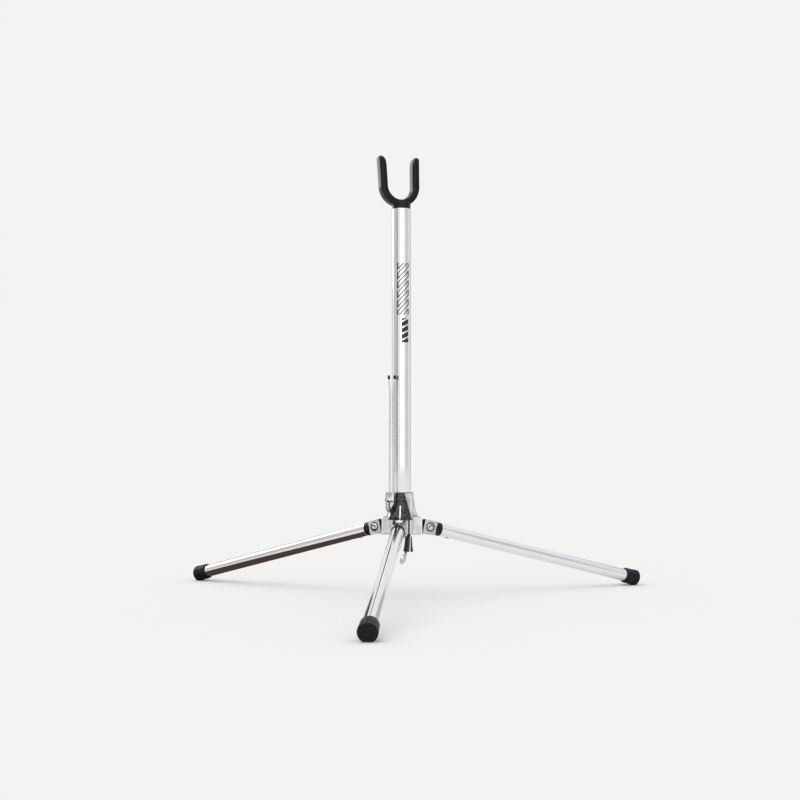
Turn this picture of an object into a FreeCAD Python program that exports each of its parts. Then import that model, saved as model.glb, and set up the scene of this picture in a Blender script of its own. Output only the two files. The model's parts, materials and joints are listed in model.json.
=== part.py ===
"""Folding tripod stand: three pull-and-fold legs on a cast hub, a tube column,
a soft U-shaped yoke on top, a small folding wire fork and a hanging tail cord.
Millimetres, Z up, floor at Z = 0, one leg along -Y. The stand's width is along X."""
import FreeCAD
import Part
import math
import os
import Sketcher

Vector = FreeCAD.Vector
Placement = FreeCAD.Placement
Rotation = FreeCAD.Rotation
os.makedirs("parts", exist_ok=True)
doc = FreeCAD.newDocument("stand")

# ---------------------------------------------------------------- dimensions
sheet = doc.addObject("Spreadsheet::Sheet", "Dims")
DIMENSIONS = [
    # legs: lengths run along the leg from the fold pin
    ("leg_slope", 13.9),
    ("leg_tube_radius", 6.5),
    ("leg_tube_bore", 5.5),
    ("knuckle_end", 7.0),
    ("collar_length", 6.6),
    ("spigot_end", 30.0),
    ("cap_length", 16.0),
    ("cap_end", 258.0),
    ("cap_wall", 1.9),
    ("foot_round", 2.0),
    ("foot_flat", 0.5),
    ("cap_floor", 2.6),
    ("collar_step", 0.35),
    ("rivet_position", 23.0),
    ("rivet_radius", 1.5),
    ("rivet_head_radius", 2.4),
    ("rivet_head_height", 0.5),
    # fold joint
    ("pin_distance", 29.0),
    ("pin_radius", 2.0),
    ("pin_head_radius", 3.4),
    ("pin_head_height", 1.3),
    ("running_gap", 0.05),
    ("side_gap", 0.3),
    ("pull_travel", 4.4),
    ("nose_wall", 2.4),
    ("fork_floor", 9.3),
    ("knuckle_half_width", 6.0),
    ("knuckle_top", 6.4),
    ("knuckle_drop", 6.8),
    ("knuckle_face", 8.0),
    ("knuckle_round", 2.2),
    ("lug_thickness", 1.5),
    ("rod_radius", 1.1),
    ("eye_half", 1.3),
    ("eye_radius", 3.9),
    ("rod_length", 22.4),
    ("nut_inner", 19.2),
    ("nut_height", 2.4),
    ("nut_half_flats", 2.75),
    ("spring_wire_radius", 0.35),
    ("spring_mean_radius", 2.45),
    ("spring_turns", 3.0),
    # hub casting
    ("boss_wall", 1.75),
    ("boss_height_over_pin", 34.9),
    ("hub_drop_under_pin", 7.0),
    ("arm_half_width", 6.0),
    ("arm_end", 20.0),
    ("arm_rise", 8.3),
    ("arm_wall", 1.8),
    ("end_wall", 2.6),
    ("lip_start", 18.2),
    ("lip_extra", 0.5),
    ("web_half_width", 4.6),
    ("socket_floor_over_pin", 10.7),
    ("cavity_radius", 9.0),
    ("cord_hole_radius", 1.1),
    # column and yoke
    ("column_radius", 9.5),
    ("column_bore", 8.3),
    ("column_top", 385.9),
    ("yoke_turn", 30.0),
    ("yoke_lean", 2.3),
    ("yoke_offset", 1.8),
    ("yoke_bore", 13.6),
    ("yoke_thickness", 7.4),
    ("yoke_depth", 11.7),
    ("yoke_over_tube", 9.6),
    ("yoke_height", 43.5),
    ("yoke_flare", 1.2),
    ("yoke_edge_round", 2.6),
    ("core_thickness", 2.4),
    ("core_depth", 6.4),
    ("core_top_gap", 5.0),
    ("neck_step", 0.2),
    ("neck_under", 9.0),
    ("plug_length", 20.0),
    ("stem_radius", 3.0),
    ("stem_length", 30.0),
    ("washer_radius", 6.5),
    ("washer_height", 1.2),
    ("stem_nut_height", 4.5),
    ("stem_nut_half_flats", 5.0),
    # set screw in the back of the boss
    ("set_screw_radius", 2.0),
    ("set_screw_over_pin", 24.0),
    ("set_screw_end", 11.4),
    ("set_screw_key", 1.0),
    # wire fork and its socket
    ("fork_x", -8.5),
    ("fork_y", -12.4),
    ("fork_turn", -15.0),
    ("fork_over_pin", 28.7),
    ("fork_half_width", 3.55),
    ("fork_half_depth", 3.5),
    ("fork_block_top", 6.4),
    ("fork_gap", 0.3),
    ("ear_wall", 1.5),
    ("socket_point", -2.8),
    ("socket_drop", 13.5),
    ("screw_radius", 1.2),
    ("screw_head_radius", 2.1),
    ("screw_head_height", 1.3),
    ("wire_radius", 0.75),
    ("wire_base_half", 2.2),
    ("wire_waist_half", 1.85),
    ("wire_tip_half", 3.1),
    ("wire_waist_up", 103.5),
    ("wire_tip_up", 120.3),
    ("wire_bottom", 1.9),
    ("tip_radius", 1.2),
    ("tip_length", 4.0),
    # hanging cord
    ("cord_radius", 0.9),
    ("bell_top_radius", 3.4),
    ("bell_foot_radius", 4.9),
    ("bell_length", 15.0),
    ("spindle_radius", 3.0),
    ("spindle_length", 12.0),
]
DERIVED = [
    # pieces that seat on one another, and the height of the fold pin that
    # puts the foot flats on the floor
    ("collar_end", "knuckle_end + collar_length"),
    ("collar_radius", "leg_tube_radius + collar_step"),
    ("cap_start", "cap_end - cap_length"),
    ("cap_radius", "leg_tube_radius + cap_wall"),
    ("boss_radius", "column_radius + boss_wall"),
    ("neck_radius", "column_radius - neck_step"),
    ("nose_radius", "pin_radius + nose_wall"),
    ("yoke_bottom", "column_top + yoke_over_tube"),
    ("foot_reach", "(cap_end - foot_round) * sin(leg_slope * 1 deg)"),
    ("foot_side", "(cap_radius - foot_round) * cos(leg_slope * 1 deg)"),
    ("pin_height", "foot_reach + foot_side + foot_round - foot_flat"),
    ("hub_bottom", "pin_height - hub_drop_under_pin"),
    ("boss_top", "pin_height + boss_height_over_pin"),
    ("arm_top", "pin_height + arm_rise"),
    ("socket_floor", "pin_height + socket_floor_over_pin"),
    ("cavity_top", "pin_height + socket_floor_over_pin - 1.9"),
    ("lip_bottom", "hub_bottom - lip_extra"),
    ("lip_top", "arm_top + lip_extra"),
    ("lip_half_width", "arm_half_width + lip_extra"),
    # curve of the web from boss to arm, out from the axis and up
    ("web_r_top", "boss_radius - 0.4"),
    ("web_r_a", "boss_radius + 0.3"),
    ("web_z_a", "pin_height + 29.5"),
    ("web_r_b", "boss_radius + 1.3"),
    ("web_z_b", "pin_height + 22.0"),
    ("web_r_c", "boss_radius + 2.9"),
    ("web_z_c", "pin_height + 14.8"),
    ("web_r_d", "boss_radius + 4.6"),
    ("web_z_d", "pin_height + 11.2"),
    # across the fold joint
    ("rod_gap", "eye_half + side_gap"),
    ("tongue_half", "rod_gap + lug_thickness"),
    ("fork_slot_half", "tongue_half + side_gap"),
    ("slot_radius", "pin_radius + running_gap"),
    ("nose_centre", "pull_travel"),
    ("wall_inner", "(pin_distance - arm_end) / cos(leg_slope * 1 deg) + end_wall"),
    ("spring_length", "nut_inner - wall_inner"),
    ("nut_outer", "nut_inner + nut_height"),
    ("cavity_rise", "3.7"),
    ("cavity_half", "arm_half_width - arm_wall"),
    ("tube_end", "cap_end - cap_floor"),
    # yoke, about its own axis
    ("yoke_centre", "yoke_bottom + yoke_bore"),
    ("yoke_outer", "yoke_bore + yoke_thickness"),
    ("yoke_top", "yoke_bottom + yoke_height"),
    ("yoke_in_top", "yoke_bore + yoke_flare"),
    ("yoke_out_top", "yoke_outer + yoke_flare - 0.6"),
    ("yoke_mid_top", "(yoke_in_top + yoke_out_top) / 2"),
    ("yoke_shoulder", "yoke_top - yoke_thickness / 2"),
    ("core_in", "yoke_bore + (yoke_thickness - core_thickness) / 2"),
    ("core_out", "core_in + core_thickness"),
    ("core_top", "yoke_top - core_top_gap - 2"),
    ("core_in_top", "core_in + yoke_flare * 0.8"),
    ("core_out_top", "core_in_top + core_thickness"),
    ("plug_bottom", "column_top - plug_length"),
    ("neck_top", "yoke_bottom - 2.6"),
    ("neck_waist", "column_top + 0.6"),
    ("stem_top", "yoke_bottom - yoke_thickness / 2"),
    ("stem_bottom", "column_top - stem_length"),
    ("washer_bottom", "plug_bottom - washer_height"),
    ("stem_nut_bottom", "washer_bottom - stem_nut_height"),
    # stand's outline, to put the frame's origin under the middle of it
    ("foot_out", "pin_distance + cap_end * cos(leg_slope * 1 deg)"),
    ("foot_far", "foot_out + (cap_radius - foot_round) * sin(leg_slope * 1 deg)"),
    ("column_back", "(foot_far + foot_round * 0.2 - foot_far / 2 - cap_radius * 0.85) / 2"),
    # fork
    ("fork_pivot_z", "pin_height + fork_over_pin"),
    ("wire_base_z", "0 - wire_bottom"),
    # joint, cavities and socket of the hub
    ("tongue_root", "0 - wall_inner + 0.5"), ("tongue_half_height", "nose_radius"),
    ("cavity_far", "0 - 26"), ("cavity_deep", "0 - 20"), ("wall_inner_x", "0 - wall_inner"),
    ("gap_start", "0 - (pin_distance - arm_end) / cos(leg_slope * 1 deg)"),
    ("gap_end", "nose_centre + nose_radius + 2"), ("gap_low", "0 - nose_radius - 2"),
    ("gap_high", "nose_radius + 2"), ("rod_hole", "rod_radius + running_gap"),
    ("hole_far", "0 - wall_inner - 1"), ("hole_near", "gap_start + 1"),
    ("recess_right", "fork_half_width + fork_gap"),
    ("recess_left", "0 - recess_right"),
    ("ear_right", "recess_right + ear_wall"),
    ("ear_left", "0 - ear_right"),
    ("recess_back", "fork_half_depth + fork_gap + 0.1"),
    ("recess_front", "0 - fork_half_depth - 8"),
    ("ear_front", "0 - fork_half_depth + 0.4"),
    ("ear_back", "8.7"),
    ("ear_low", "fork_pivot_z - socket_drop"),
    ("ear_low_left", "ear_low + 3"),
    ("ear_low_right", "fork_pivot_z - fork_half_depth - 2"),
    ("recess_low", "ear_low + 1.6"),
    ("recess_low_left", "ear_low_left + 1.6"),
    ("recess_low_right", "ear_low_right + 1.6"),
    ("recess_top", "boss_top + 1"),
    ("screw_far", "ear_right + 1"), ("screw_head_x", "ear_left - screw_head_height"),
    ("set_screw_z", "pin_height + set_screw_over_pin"),
    ("socket_mid", "(ear_front + ear_back) / 2"),
    ("socket_half", "(ear_back - ear_front) / 2"),
    ("recess_mid", "(recess_front + recess_back) / 2"),
    ("recess_half", "(recess_back - recess_front) / 2"),
    ("hood_radius", "boss_radius + 5.75"),
    ("hood_low", "pin_height + 7.9"),
    ("hood_z_a", "hood_low + 2.4"),
    ("hood_r_b", "boss_radius + 3.4"),
    ("hood_z_b", "hood_low + 7"),
    ("hood_r_c", "boss_radius + 1.7"),
    ("hood_z_c", "hood_low + 13"),
    ("hood_r_d", "boss_radius + 0.5"),
    ("hood_z_d", "hood_low + 21"),
    ("vent_top", "socket_floor + 1"),
    ("vent_low", "cavity_top - 1"),
    ("bore_top", "boss_top + 1"),
    ("below_hub", "hub_bottom - 3"),
    ("vent_radius", "column_bore - 4"),
    ("screw_in", "column_radius - 0.6"),
    ("screw_out", "set_screw_end + 2"),
    # knuckle outline in the leg's own frame
    ("face_cos", "knuckle_face * cos(leg_slope * 1 deg)"),
    ("face_sin", "knuckle_face * sin(leg_slope * 1 deg)"),
    ("face_top_x", "0 - face_cos - (knuckle_top + face_sin) * tan(leg_slope * 1 deg)"),
    ("face_low_x", "0 - face_cos + knuckle_drop * sin(leg_slope * 1 deg)"),
    ("face_low_z", "0 - face_sin - knuckle_drop * cos(leg_slope * 1 deg)"),
    ("fork_cut_in", "0 - knuckle_face - 8"),
    ("fork_cut_low", "0 - 14"),
    ("fork_cut_top", "14"),
    ("spigot_start", "knuckle_end - 0.5"),
    ("pin_head_end", "knuckle_half_width + pin_head_height"),
    ("pin_head_small", "pin_head_radius * 0.62"),
    ("pin_head_mid", "knuckle_half_width + pin_head_height * 0.6"),
    ("pin_head_wide", "pin_head_radius * 0.93"),
    ("eye_back", "0 - eye_radius + 1"),
    ("rod_end", "0 - rod_length"),
    ("nut_corner", "nut_half_flats / cos(30 deg)"),
    ("nut_corner_half", "nut_corner / 2"),
    ("stem_nut_corner", "stem_nut_half_flats / cos(30 deg)"),
    ("stem_nut_corner_half", "stem_nut_corner / 2"),
    ("spring_start", "0 - nut_inner + spring_wire_radius + 0.08"),
    ("spring_rise", "spring_length - 2 * spring_wire_radius - 0.16"),
    ("rivet_inner", "0 - leg_tube_bore + 2.5"),
    ("rivet_seat", "0 - leg_tube_radius"),
    ("rivet_top", "rivet_seat - rivet_head_height"),
    ("rivet_small", "rivet_head_radius * 0.6"),
    ("floor_x", "pin_height * sin(leg_slope * 1 deg)"),
    ("floor_z", "0 - pin_height * cos(leg_slope * 1 deg)"),
    ("flat_near", "cap_start - 30"),
    ("flat_far", "cap_end + 30"),
    ("flat_low", "0 - 9"),
    # fork and its tips
    ("wire_base_low", "fork_block_top - 4.2"),
    ("fork_bore", "screw_radius + running_gap"),
    ("tip_bore_end", "0 - tip_length + 1.4"),
    ("tip_start", "0 - tip_length"),
    ("tip_end_small", "tip_radius * 0.6"),
    ("tip_shoulder", "0 - 0.5"),
    # things on the cord
    ("bell_mid_radius", "bell_top_radius * 1.12"),
    ("bell_mid", "0 - bell_length * 0.42"),
    ("bell_foot", "0 - bell_length"),
    ("bell_wall_foot", "bell_foot_radius - 0.9"),
    ("bell_wall_mid", "bell_mid_radius - 0.9"),
    ("bell_roof", "0 - 3"),
    ("bell_shoulder", "0 - 0.9"),
    ("bell_crown", "bell_top_radius - 0.9"),
    ("grommet_radius", "bell_top_radius - 1.5"),
    ("grommet_height", "1.8"),
    ("spindle_neck", "spindle_radius * 0.55"),
    ("spindle_neck_end", "0 - spindle_length * 0.38"),
    ("spindle_belly", "0 - spindle_length * 0.62"),
    ("spindle_low", "0 - spindle_length"),
    ("spindle_foot", "spindle_radius * 0.62"),
    ("spindle_bore_end", "0 - spindle_length * 0.55"),
]


def cell(row, alias, content):
    sheet.set("A%d" % row, alias)
    sheet.set("B%d" % row, content)
    sheet.setAlias("B%d" % row, alias)


for number, (alias, value) in enumerate(DIMENSIONS, 1):
    cell(number, alias, str(value))
for number, (alias, formula) in enumerate(DERIVED, len(DIMENSIONS) + 2):
    cell(number, alias, "=" + formula)
doc.recompute()


def size(alias):
    """Value of a named size; a leading minus turns its sign."""
    if alias.startswith("-"):
        return -size(alias[1:])
    if alias == "zero":
        return 0.0
    return float(sheet.get(alias))


def bind(thing, path, alias):
    """Ties a property to a named size of the sheet."""
    name = alias.lstrip("-")
    thing.setExpression(path, ("-" if alias.startswith("-") else "") + "Dims." + name)


# ------------------------------------------------------------------- helpers
def new_body(name, where=None):
    body = doc.addObject("PartDesign::Body", name)
    body.Label = name
    if where is not None:
        body.Placement = where
    return body


def plane(body, role):
    return [f for f in body.Origin.OriginFeatures if f.Role == role][0]


def sketch(body, name, role, offset=None):
    made = body.newObject("Sketcher::SketchObject", name)
    made.AttachmentSupport = [(plane(body, role), "")]
    made.MapMode = "FlatFace"
    if offset is not None:
        made.AttachmentOffset = offset
    return made


def pin_point(made, geo, pos, x, y):
    """Fixes one sketch point at two named coordinates."""
    for kind, axis, alias in (("DistanceX", -2, x), ("DistanceY", -1, y)):
        if abs(size(alias)) < 1e-9:
            made.addConstraint(Sketcher.Constraint("PointOnObject", geo, pos, axis))
            continue
        index = made.addConstraint(Sketcher.Constraint(kind, geo, pos, size(alias)))
        bind(made, "Constraints[%d]" % index, alias)


def outline(made, points):
    """Closed outline through points named by their sizes."""
    spots = [Vector(size(x), size(y), 0) for x, y in points]
    first = made.GeometryCount
    count = len(spots)
    for i in range(count):
        made.addGeometry(Part.LineSegment(spots[i], spots[(i + 1) % count]), False)
    for i in range(count):
        follow = first + (i + 1) % count
        made.addConstraint(Sketcher.Constraint("Coincident", first + i, 2, follow, 1))
    for i, (x, y) in enumerate(points):
        pin_point(made, first + i, 1, x, y)
    return made


def circle(made, x, y, radius):
    spot = Vector(size(x), size(y), 0)
    geo = made.addGeometry(Part.Circle(spot, Vector(0, 0, 1), size(radius)), False)
    pin_point(made, geo, 3, x, y)
    index = made.addConstraint(Sketcher.Constraint("Radius", geo, size(radius)))
    bind(made, "Constraints[%d]" % index, radius)
    return made


def stadium(made, near, far, radius):
    """Slot along the sketch's x axis with round ends at near and far."""
    low, high, r = size(near), size(far), size(radius)
    normal = Vector(0, 0, 1)
    left = Part.ArcOfCircle(Part.Circle(Vector(low, 0, 0), normal, r), math.pi / 2, 1.5 * math.pi)
    right = Part.ArcOfCircle(Part.Circle(Vector(high, 0, 0), normal, r), -math.pi / 2, math.pi / 2)
    a = made.addGeometry(left, False)
    b = made.addGeometry(right, False)
    top = made.addGeometry(Part.LineSegment(Vector(high, r, 0), Vector(low, r, 0)), False)
    low_line = made.addGeometry(Part.LineSegment(Vector(low, -r, 0), Vector(high, -r, 0)), False)
    made.addConstraint(Sketcher.Constraint("Tangent", a, 2, low_line, 1))
    made.addConstraint(Sketcher.Constraint("Tangent", low_line, 2, b, 1))
    made.addConstraint(Sketcher.Constraint("Tangent", b, 2, top, 1))
    made.addConstraint(Sketcher.Constraint("Tangent", top, 2, a, 1))
    pin_point(made, a, 3, near, "zero")
    pin_point(made, b, 3, far, "zero")
    index = made.addConstraint(Sketcher.Constraint("Radius", a, r))
    bind(made, "Constraints[%d]" % index, radius)
    return made


def pad(body, name, profile, length, middle=True, back=False, cut=False):
    kind = "PartDesign::Pocket" if cut else "PartDesign::Pad"
    made = body.newObject(kind, name)
    made.Profile = profile
    if middle:
        made.SideType = "Symmetric"
    made.Reversed = back
    if isinstance(length, str):
        factor = "2 * " if middle else ""
        made.setExpression("Length", factor + "Dims." + length)
    else:
        made.Length = length
    profile.Visibility = False
    return made


def turn(body, name, profile, axis="H_Axis", cut=False):
    kind = "PartDesign::Groove" if cut else "PartDesign::Revolution"
    made = body.newObject(kind, name)
    made.Profile = profile
    made.ReferenceAxis = (profile, [axis])
    made.Angle = 360
    profile.Visibility = False
    return made


def soften(body, name, radius, wanted, chamfer=False):
    """Rounds or bevels the edges of the tip that pass a test."""
    doc.recompute()
    tip = body.Tip
    edges = tip.Shape.Edges
    names = ["Edge%d" % (i + 1) for i, edge in enumerate(edges) if wanted(edge)]
    if not names:
        raise RuntimeError("no edge to soften: " + name)
    made = body.newObject("PartDesign::Chamfer" if chamfer else "PartDesign::Fillet", name)
    made.Base = (tip, names)
    prop = "Size" if chamfer else "Radius"
    if isinstance(radius, str):
        made.setExpression(prop, "Dims." + radius)
    else:
        setattr(made, prop, radius)
    return made


def around_x(edge, x, radius=None):
    """True for a circle about the X axis at a given x."""
    curve = edge.Curve
    if not isinstance(curve, Part.Circle):
        return False
    if abs(abs(curve.Axis.x) - 1) > 1e-6 or abs(curve.Center.x - x) > 1e-6:
        return False
    return radius is None or abs(curve.Radius - radius) < 1e-6


STAND = Placement(Vector(0, size("column_back"), 0), Rotation())
SLOPE = size("leg_slope")
TILT = Placement(Vector(size("pin_distance"), size("pin_height"), 0), Rotation(Vector(0, 0, 1), -SLOPE))
FRONT = Placement(Vector(), Rotation(Vector(0, 1, 0), -90))
FRONT_TILT = FRONT.multiply(TILT)
LEGS = [("front", -90.0), ("right", 30.0), ("left", 150.0)]


def leg_frame(turned):
    """Frame at a leg's fold pin: X out along the leg, Y along the pin."""
    spin = Placement(Vector(), Rotation(Vector(0, 0, 1), turned))
    out = Placement(Vector(size("pin_distance"), 0, size("pin_height")), Rotation(Vector(0, 1, 0), SLOPE))
    return STAND.multiply(spin).multiply(out)


# --------------------------------------------------------------- hub casting
hub = new_body("hub_casting", STAND)
boss_profile = outline(sketch(hub, "BossProfile", "XZ_Plane"), [
    ("zero", "hub_bottom"), ("boss_radius", "hub_bottom"),
    ("boss_radius", "boss_top"), ("zero", "boss_top"),
])
boss = turn(hub, "Boss", boss_profile, "V_Axis")
web_profile = outline(sketch(hub, "WebProfile", "XZ_Plane", FRONT), [
    ("zero", "arm_top"), ("zero", "boss_top"), ("web_r_top", "boss_top"),
    ("web_r_a", "web_z_a"), ("web_r_b", "web_z_b"), ("web_r_c", "web_z_c"),
    ("web_r_d", "web_z_d"), ("arm_end", "arm_top"),
])
web = pad(hub, "Web", web_profile, "web_half_width")
arm_profile = outline(sketch(hub, "ArmProfile", "XZ_Plane", FRONT), [
    ("zero", "hub_bottom"), ("arm_end", "hub_bottom"), ("arm_end", "arm_top"),
    ("web_r_d", "web_z_d"), ("zero", "web_z_d"),
])
arm = pad(hub, "Arm", arm_profile, "arm_half_width")
lip_profile = outline(sketch(hub, "LipProfile", "XZ_Plane", FRONT), [
    ("lip_start", "lip_bottom"), ("arm_end", "lip_bottom"),
    ("arm_end", "lip_top"), ("lip_start", "lip_top"),
])
lip = pad(hub, "Lip", lip_profile, "lip_half_width")
lug_profile = outline(sketch(hub, "LugProfile", "XZ_Plane", FRONT_TILT), [
    ("tongue_root", "-nose_radius"), ("nose_centre", "-nose_radius"),
    ("nose_centre", "nose_radius"), ("tongue_root", "nose_radius"),
])
lug = pad(hub, "Lug", lug_profile, "tongue_half")
nose_profile = circle(
    sketch(hub, "NoseProfile", "XZ_Plane", FRONT_TILT), "nose_centre", "zero", "nose_radius")
nose = pad(hub, "Nose", nose_profile, "tongue_half")
cavity_profile = outline(sketch(hub, "CavityProfile", "XZ_Plane", FRONT_TILT), [
    ("wall_inner_x", "cavity_rise"), ("cavity_far", "cavity_rise"),
    ("cavity_far", "cavity_deep"), ("wall_inner_x", "cavity_deep"),
])
cavity = pad(hub, "Cavity", cavity_profile, "cavity_half", cut=True)
gap_profile = outline(sketch(hub, "GapProfile", "XZ_Plane", FRONT_TILT), [
    ("gap_start", "gap_low"), ("gap_end", "gap_low"), ("gap_end", "gap_high"), ("gap_start", "gap_high"),
])
gap = pad(hub, "RodGap", gap_profile, "rod_gap", cut=True)
slot_profile = stadium(
    sketch(hub, "SlotProfile", "XZ_Plane", FRONT_TILT), "zero", "nose_centre", "slot_radius")
slot = pad(hub, "PinSlot", slot_profile, 20.0, cut=True)
hole_profile = outline(sketch(hub, "RodHoleProfile", "XZ_Plane", FRONT_TILT), [
    ("hole_far", "zero"), ("hole_near", "zero"), ("hole_near", "rod_hole"), ("hole_far", "rod_hole"),
])
hole = turn(hub, "RodHole", hole_profile, "H_Axis", cut=True)
arms = hub.newObject("PartDesign::PolarPattern", "ThreeArms")
arms.Originals = [web, arm, lip, lug, nose, cavity, gap, slot, hole]
arms.Axis = (plane(hub, "Z_Axis"), [""])
arms.Angle = 360
arms.Occurrences = 3
hub.Tip = arms
doc.recompute()

# bell-shaped hood over the front arm
hood_profile = outline(sketch(hub, "HoodProfile", "YZ_Plane"), [
    ("zero", "hood_low"), ("-hood_radius", "hood_low"), ("-hood_radius", "hood_z_a"),
    ("-hood_r_b", "hood_z_b"), ("-hood_r_c", "hood_z_c"), ("-hood_r_d", "hood_z_d"),
    ("zero", "hood_z_d"),
])
hood = turn(hub, "Hood", hood_profile, "V_Axis")
hood.Midplane = True
hood.Angle = 96

# socket of the wire fork: two ears, a shield-shaped recess between them
socket_turn = Rotation(Vector(0, 1, 0), size("fork_turn"))
SOCKET = Placement(Vector(size("fork_x"), 0, -size("fork_y")), socket_turn)
front = SOCKET.multiply(Placement(Vector(0, 0, -size("socket_mid")), Rotation()))
ears = outline(sketch(hub, "EarProfile", "XZ_Plane", front), [
    ("ear_left", "ear_low_left"), ("socket_point", "ear_low"), ("ear_right", "ear_low_right"),
    ("ear_right", "boss_top"), ("ear_left", "boss_top"),
])
pad(hub, "Ears", ears, "socket_half")
front = SOCKET.multiply(Placement(Vector(0, 0, -size("recess_mid")), Rotation()))
recess = outline(sketch(hub, "RecessProfile", "XZ_Plane", front), [
    ("recess_left", "recess_low_left"), ("socket_point", "recess_low"),
    ("recess_right", "recess_low_right"),
    ("recess_right", "recess_top"), ("recess_left", "recess_top"),
])
pad(hub, "Recess", recess, "recess_half", cut=True)
pivot_line = SOCKET.multiply(Placement(Vector(0, size("fork_pivot_z"), 0), Rotation()))
screw_hole = outline(sketch(hub, "ScrewHoleProfile", "XZ_Plane", pivot_line), [
    ("screw_head_x", "zero"), ("screw_far", "zero"), ("screw_far", "screw_radius"),
    ("screw_head_x", "screw_radius"),
])
turn(hub, "ScrewHole", screw_hole, "H_Axis", cut=True)

# bores: column socket, vent, middle cavity, set screw and cord
for label, inner, low, outer, high in [
    ("ColumnSocket", "zero", "socket_floor", "column_radius", "bore_top"),
    ("Vent", "zero", "vent_low", "vent_radius", "vent_top"),
    ("MiddleCavity", "zero", "below_hub", "cavity_radius", "cavity_top"),
]:
    bore = outline(sketch(hub, label + "Profile", "XZ_Plane"), [
        (inner, low), (outer, low), (outer, high), (inner, high),
    ])
    turn(hub, label, bore, "V_Axis", cut=True)
back_line = Placement(Vector(0, size("set_screw_z"), 0), Rotation())
screw_bore = outline(sketch(hub, "SetScrewBoreProfile", "YZ_Plane", back_line), [
    ("screw_in", "zero"), ("screw_out", "zero"), ("screw_out", "set_screw_radius"),
    ("screw_in", "set_screw_radius"),
])
turn(hub, "SetScrewBore", screw_bore, "H_Axis", cut=True)
CORD_ROUTE = [
    Vector(8.7, -12.2, size("hood_low") + 4.6),
    Vector(8.4, -12.2, size("hood_low") - 11.0),
    Vector(7.8, -12.2, size("hood_low") - 27.0),
    Vector(3.2, -11.8, size("hood_low") - 37.0),
]
cord_top = Placement(Vector(CORD_ROUTE[0].x, CORD_ROUTE[0].y, CORD_ROUTE[0].z - 9.2), Rotation())
cord_hole = circle(sketch(hub, "CordHoleProfile", "XY_Plane", cord_top), "zero", "zero", "cord_radius")
pad(hub, "CordHole", cord_hole, 18.4, cut=True)
doc.recompute()

# ------------------------------------------------------- column and its screw
column = new_body("column_tube", STAND)
tube_wall = outline(sketch(column, "TubeWall", "XZ_Plane"), [
    ("column_bore", "socket_floor"), ("column_radius", "socket_floor"),
    ("column_radius", "column_top"), ("column_bore", "column_top"),
])
turn(column, "Tube", tube_wall, "V_Axis")

set_screw = new_body("column_set_screw", STAND)
screw_form = outline(sketch(set_screw, "ScrewForm", "YZ_Plane", back_line), [
    ("column_radius", "zero"), ("set_screw_end", "zero"), ("set_screw_end", "set_screw_radius"),
    ("column_radius", "set_screw_radius"),
])
turn(set_screw, "Screw", screw_form, "H_Axis")
key_at = Placement(Vector(0, size("set_screw_z"), -size("set_screw_end")), Rotation())
key = circle(sketch(set_screw, "KeyProfile", "XZ_Plane", key_at), "zero", "zero", "set_screw_key")
pad(set_screw, "Key", key, 1.6, cut=True)


# ---------------------------------------------------------------------- yoke
def loop(made, corners):
    """Closed outline whose corners are (x, y, centre of the arc to the next or None)."""
    spots = [Vector(size(c[0]), size(c[1]), 0) for c in corners]
    count = len(corners)
    ends = []
    for i, (_, _, centre) in enumerate(corners):
        start, stop = spots[i], spots[(i + 1) % count]
        if centre is None:
            geo = made.addGeometry(Part.LineSegment(start, stop), False)
            ends.append((geo, 1, 2))
            continue
        mid = Vector(size(centre[0]), size(centre[1]), 0)
        full = Part.Circle(mid, Vector(0, 0, 1), (start - mid).Length)
        angles = [math.atan2(p.y - mid.y, p.x - mid.x) for p in (start, stop)]
        swap = centre[2] == "clockwise"
        low, high = (angles[1], angles[0]) if swap else (angles[0], angles[1])
        if high <= low:
            high += 2 * math.pi
        geo = made.addGeometry(Part.ArcOfCircle(full, low, high), False)
        ends.append((geo, 2, 1) if swap else (geo, 1, 2))
        pin_point(made, geo, 3, centre[0], centre[1])
    for i in range(count):
        geo, _, last = ends[i]
        follow, head, _ = ends[(i + 1) % count]
        made.addConstraint(Sketcher.Constraint("Coincident", geo, last, follow, head))
    for i, (x, y, _) in enumerate(corners):
        geo, head, _ = ends[i]
        if corners[i - 1][2] is None:
            pin_point(made, geo, head, x, y)
        else:
            index = made.addConstraint(Sketcher.Constraint("DistanceY", geo, head, size(y)))
            bind(made, "Constraints[%d]" % index, y)
    return made


YOKE = STAND.multiply(Placement(Vector(), Rotation(Vector(0, 0, 1), size("yoke_turn"))))
# the U leans a little and sits a little off the column's axis
LEAN = Placement(
    Vector(-size("yoke_offset"), 0, 0), Rotation(Vector(0, 1, 0), -size("yoke_lean")),
    Vector(0, 0, size("column_top")),
)
U_PLACE = YOKE.multiply(LEAN)
yoke_form = new_body("yoke_form", U_PLACE)
bowl = ("zero", "yoke_centre", "clockwise")
bowl_out = ("zero", "yoke_centre", "anticlockwise")
u_shape = loop(sketch(yoke_form, "UShape", "XZ_Plane"), [
    ("yoke_bore", "yoke_centre", bowl),
    ("-yoke_bore", "yoke_centre", None),
    ("-yoke_in_top", "yoke_shoulder", ("-yoke_mid_top", "yoke_shoulder", "anticlockwise")),
    ("-yoke_out_top", "yoke_shoulder", None),
    ("-yoke_outer", "yoke_centre", bowl_out),
    ("yoke_outer", "yoke_centre", None),
    ("yoke_out_top", "yoke_shoulder", ("yoke_mid_top", "yoke_shoulder", "anticlockwise")),
    ("yoke_in_top", "yoke_shoulder", None),
])
pad(yoke_form, "U", u_shape, 11.7).setExpression("Length", "Dims.yoke_depth")


def long_side(edge):
    """True for the edges that run round the front and back of the U."""
    box = edge.BoundBox
    return box.YLength < 1e-6


soften(yoke_form, "Rounded", "yoke_edge_round", long_side)

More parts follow.
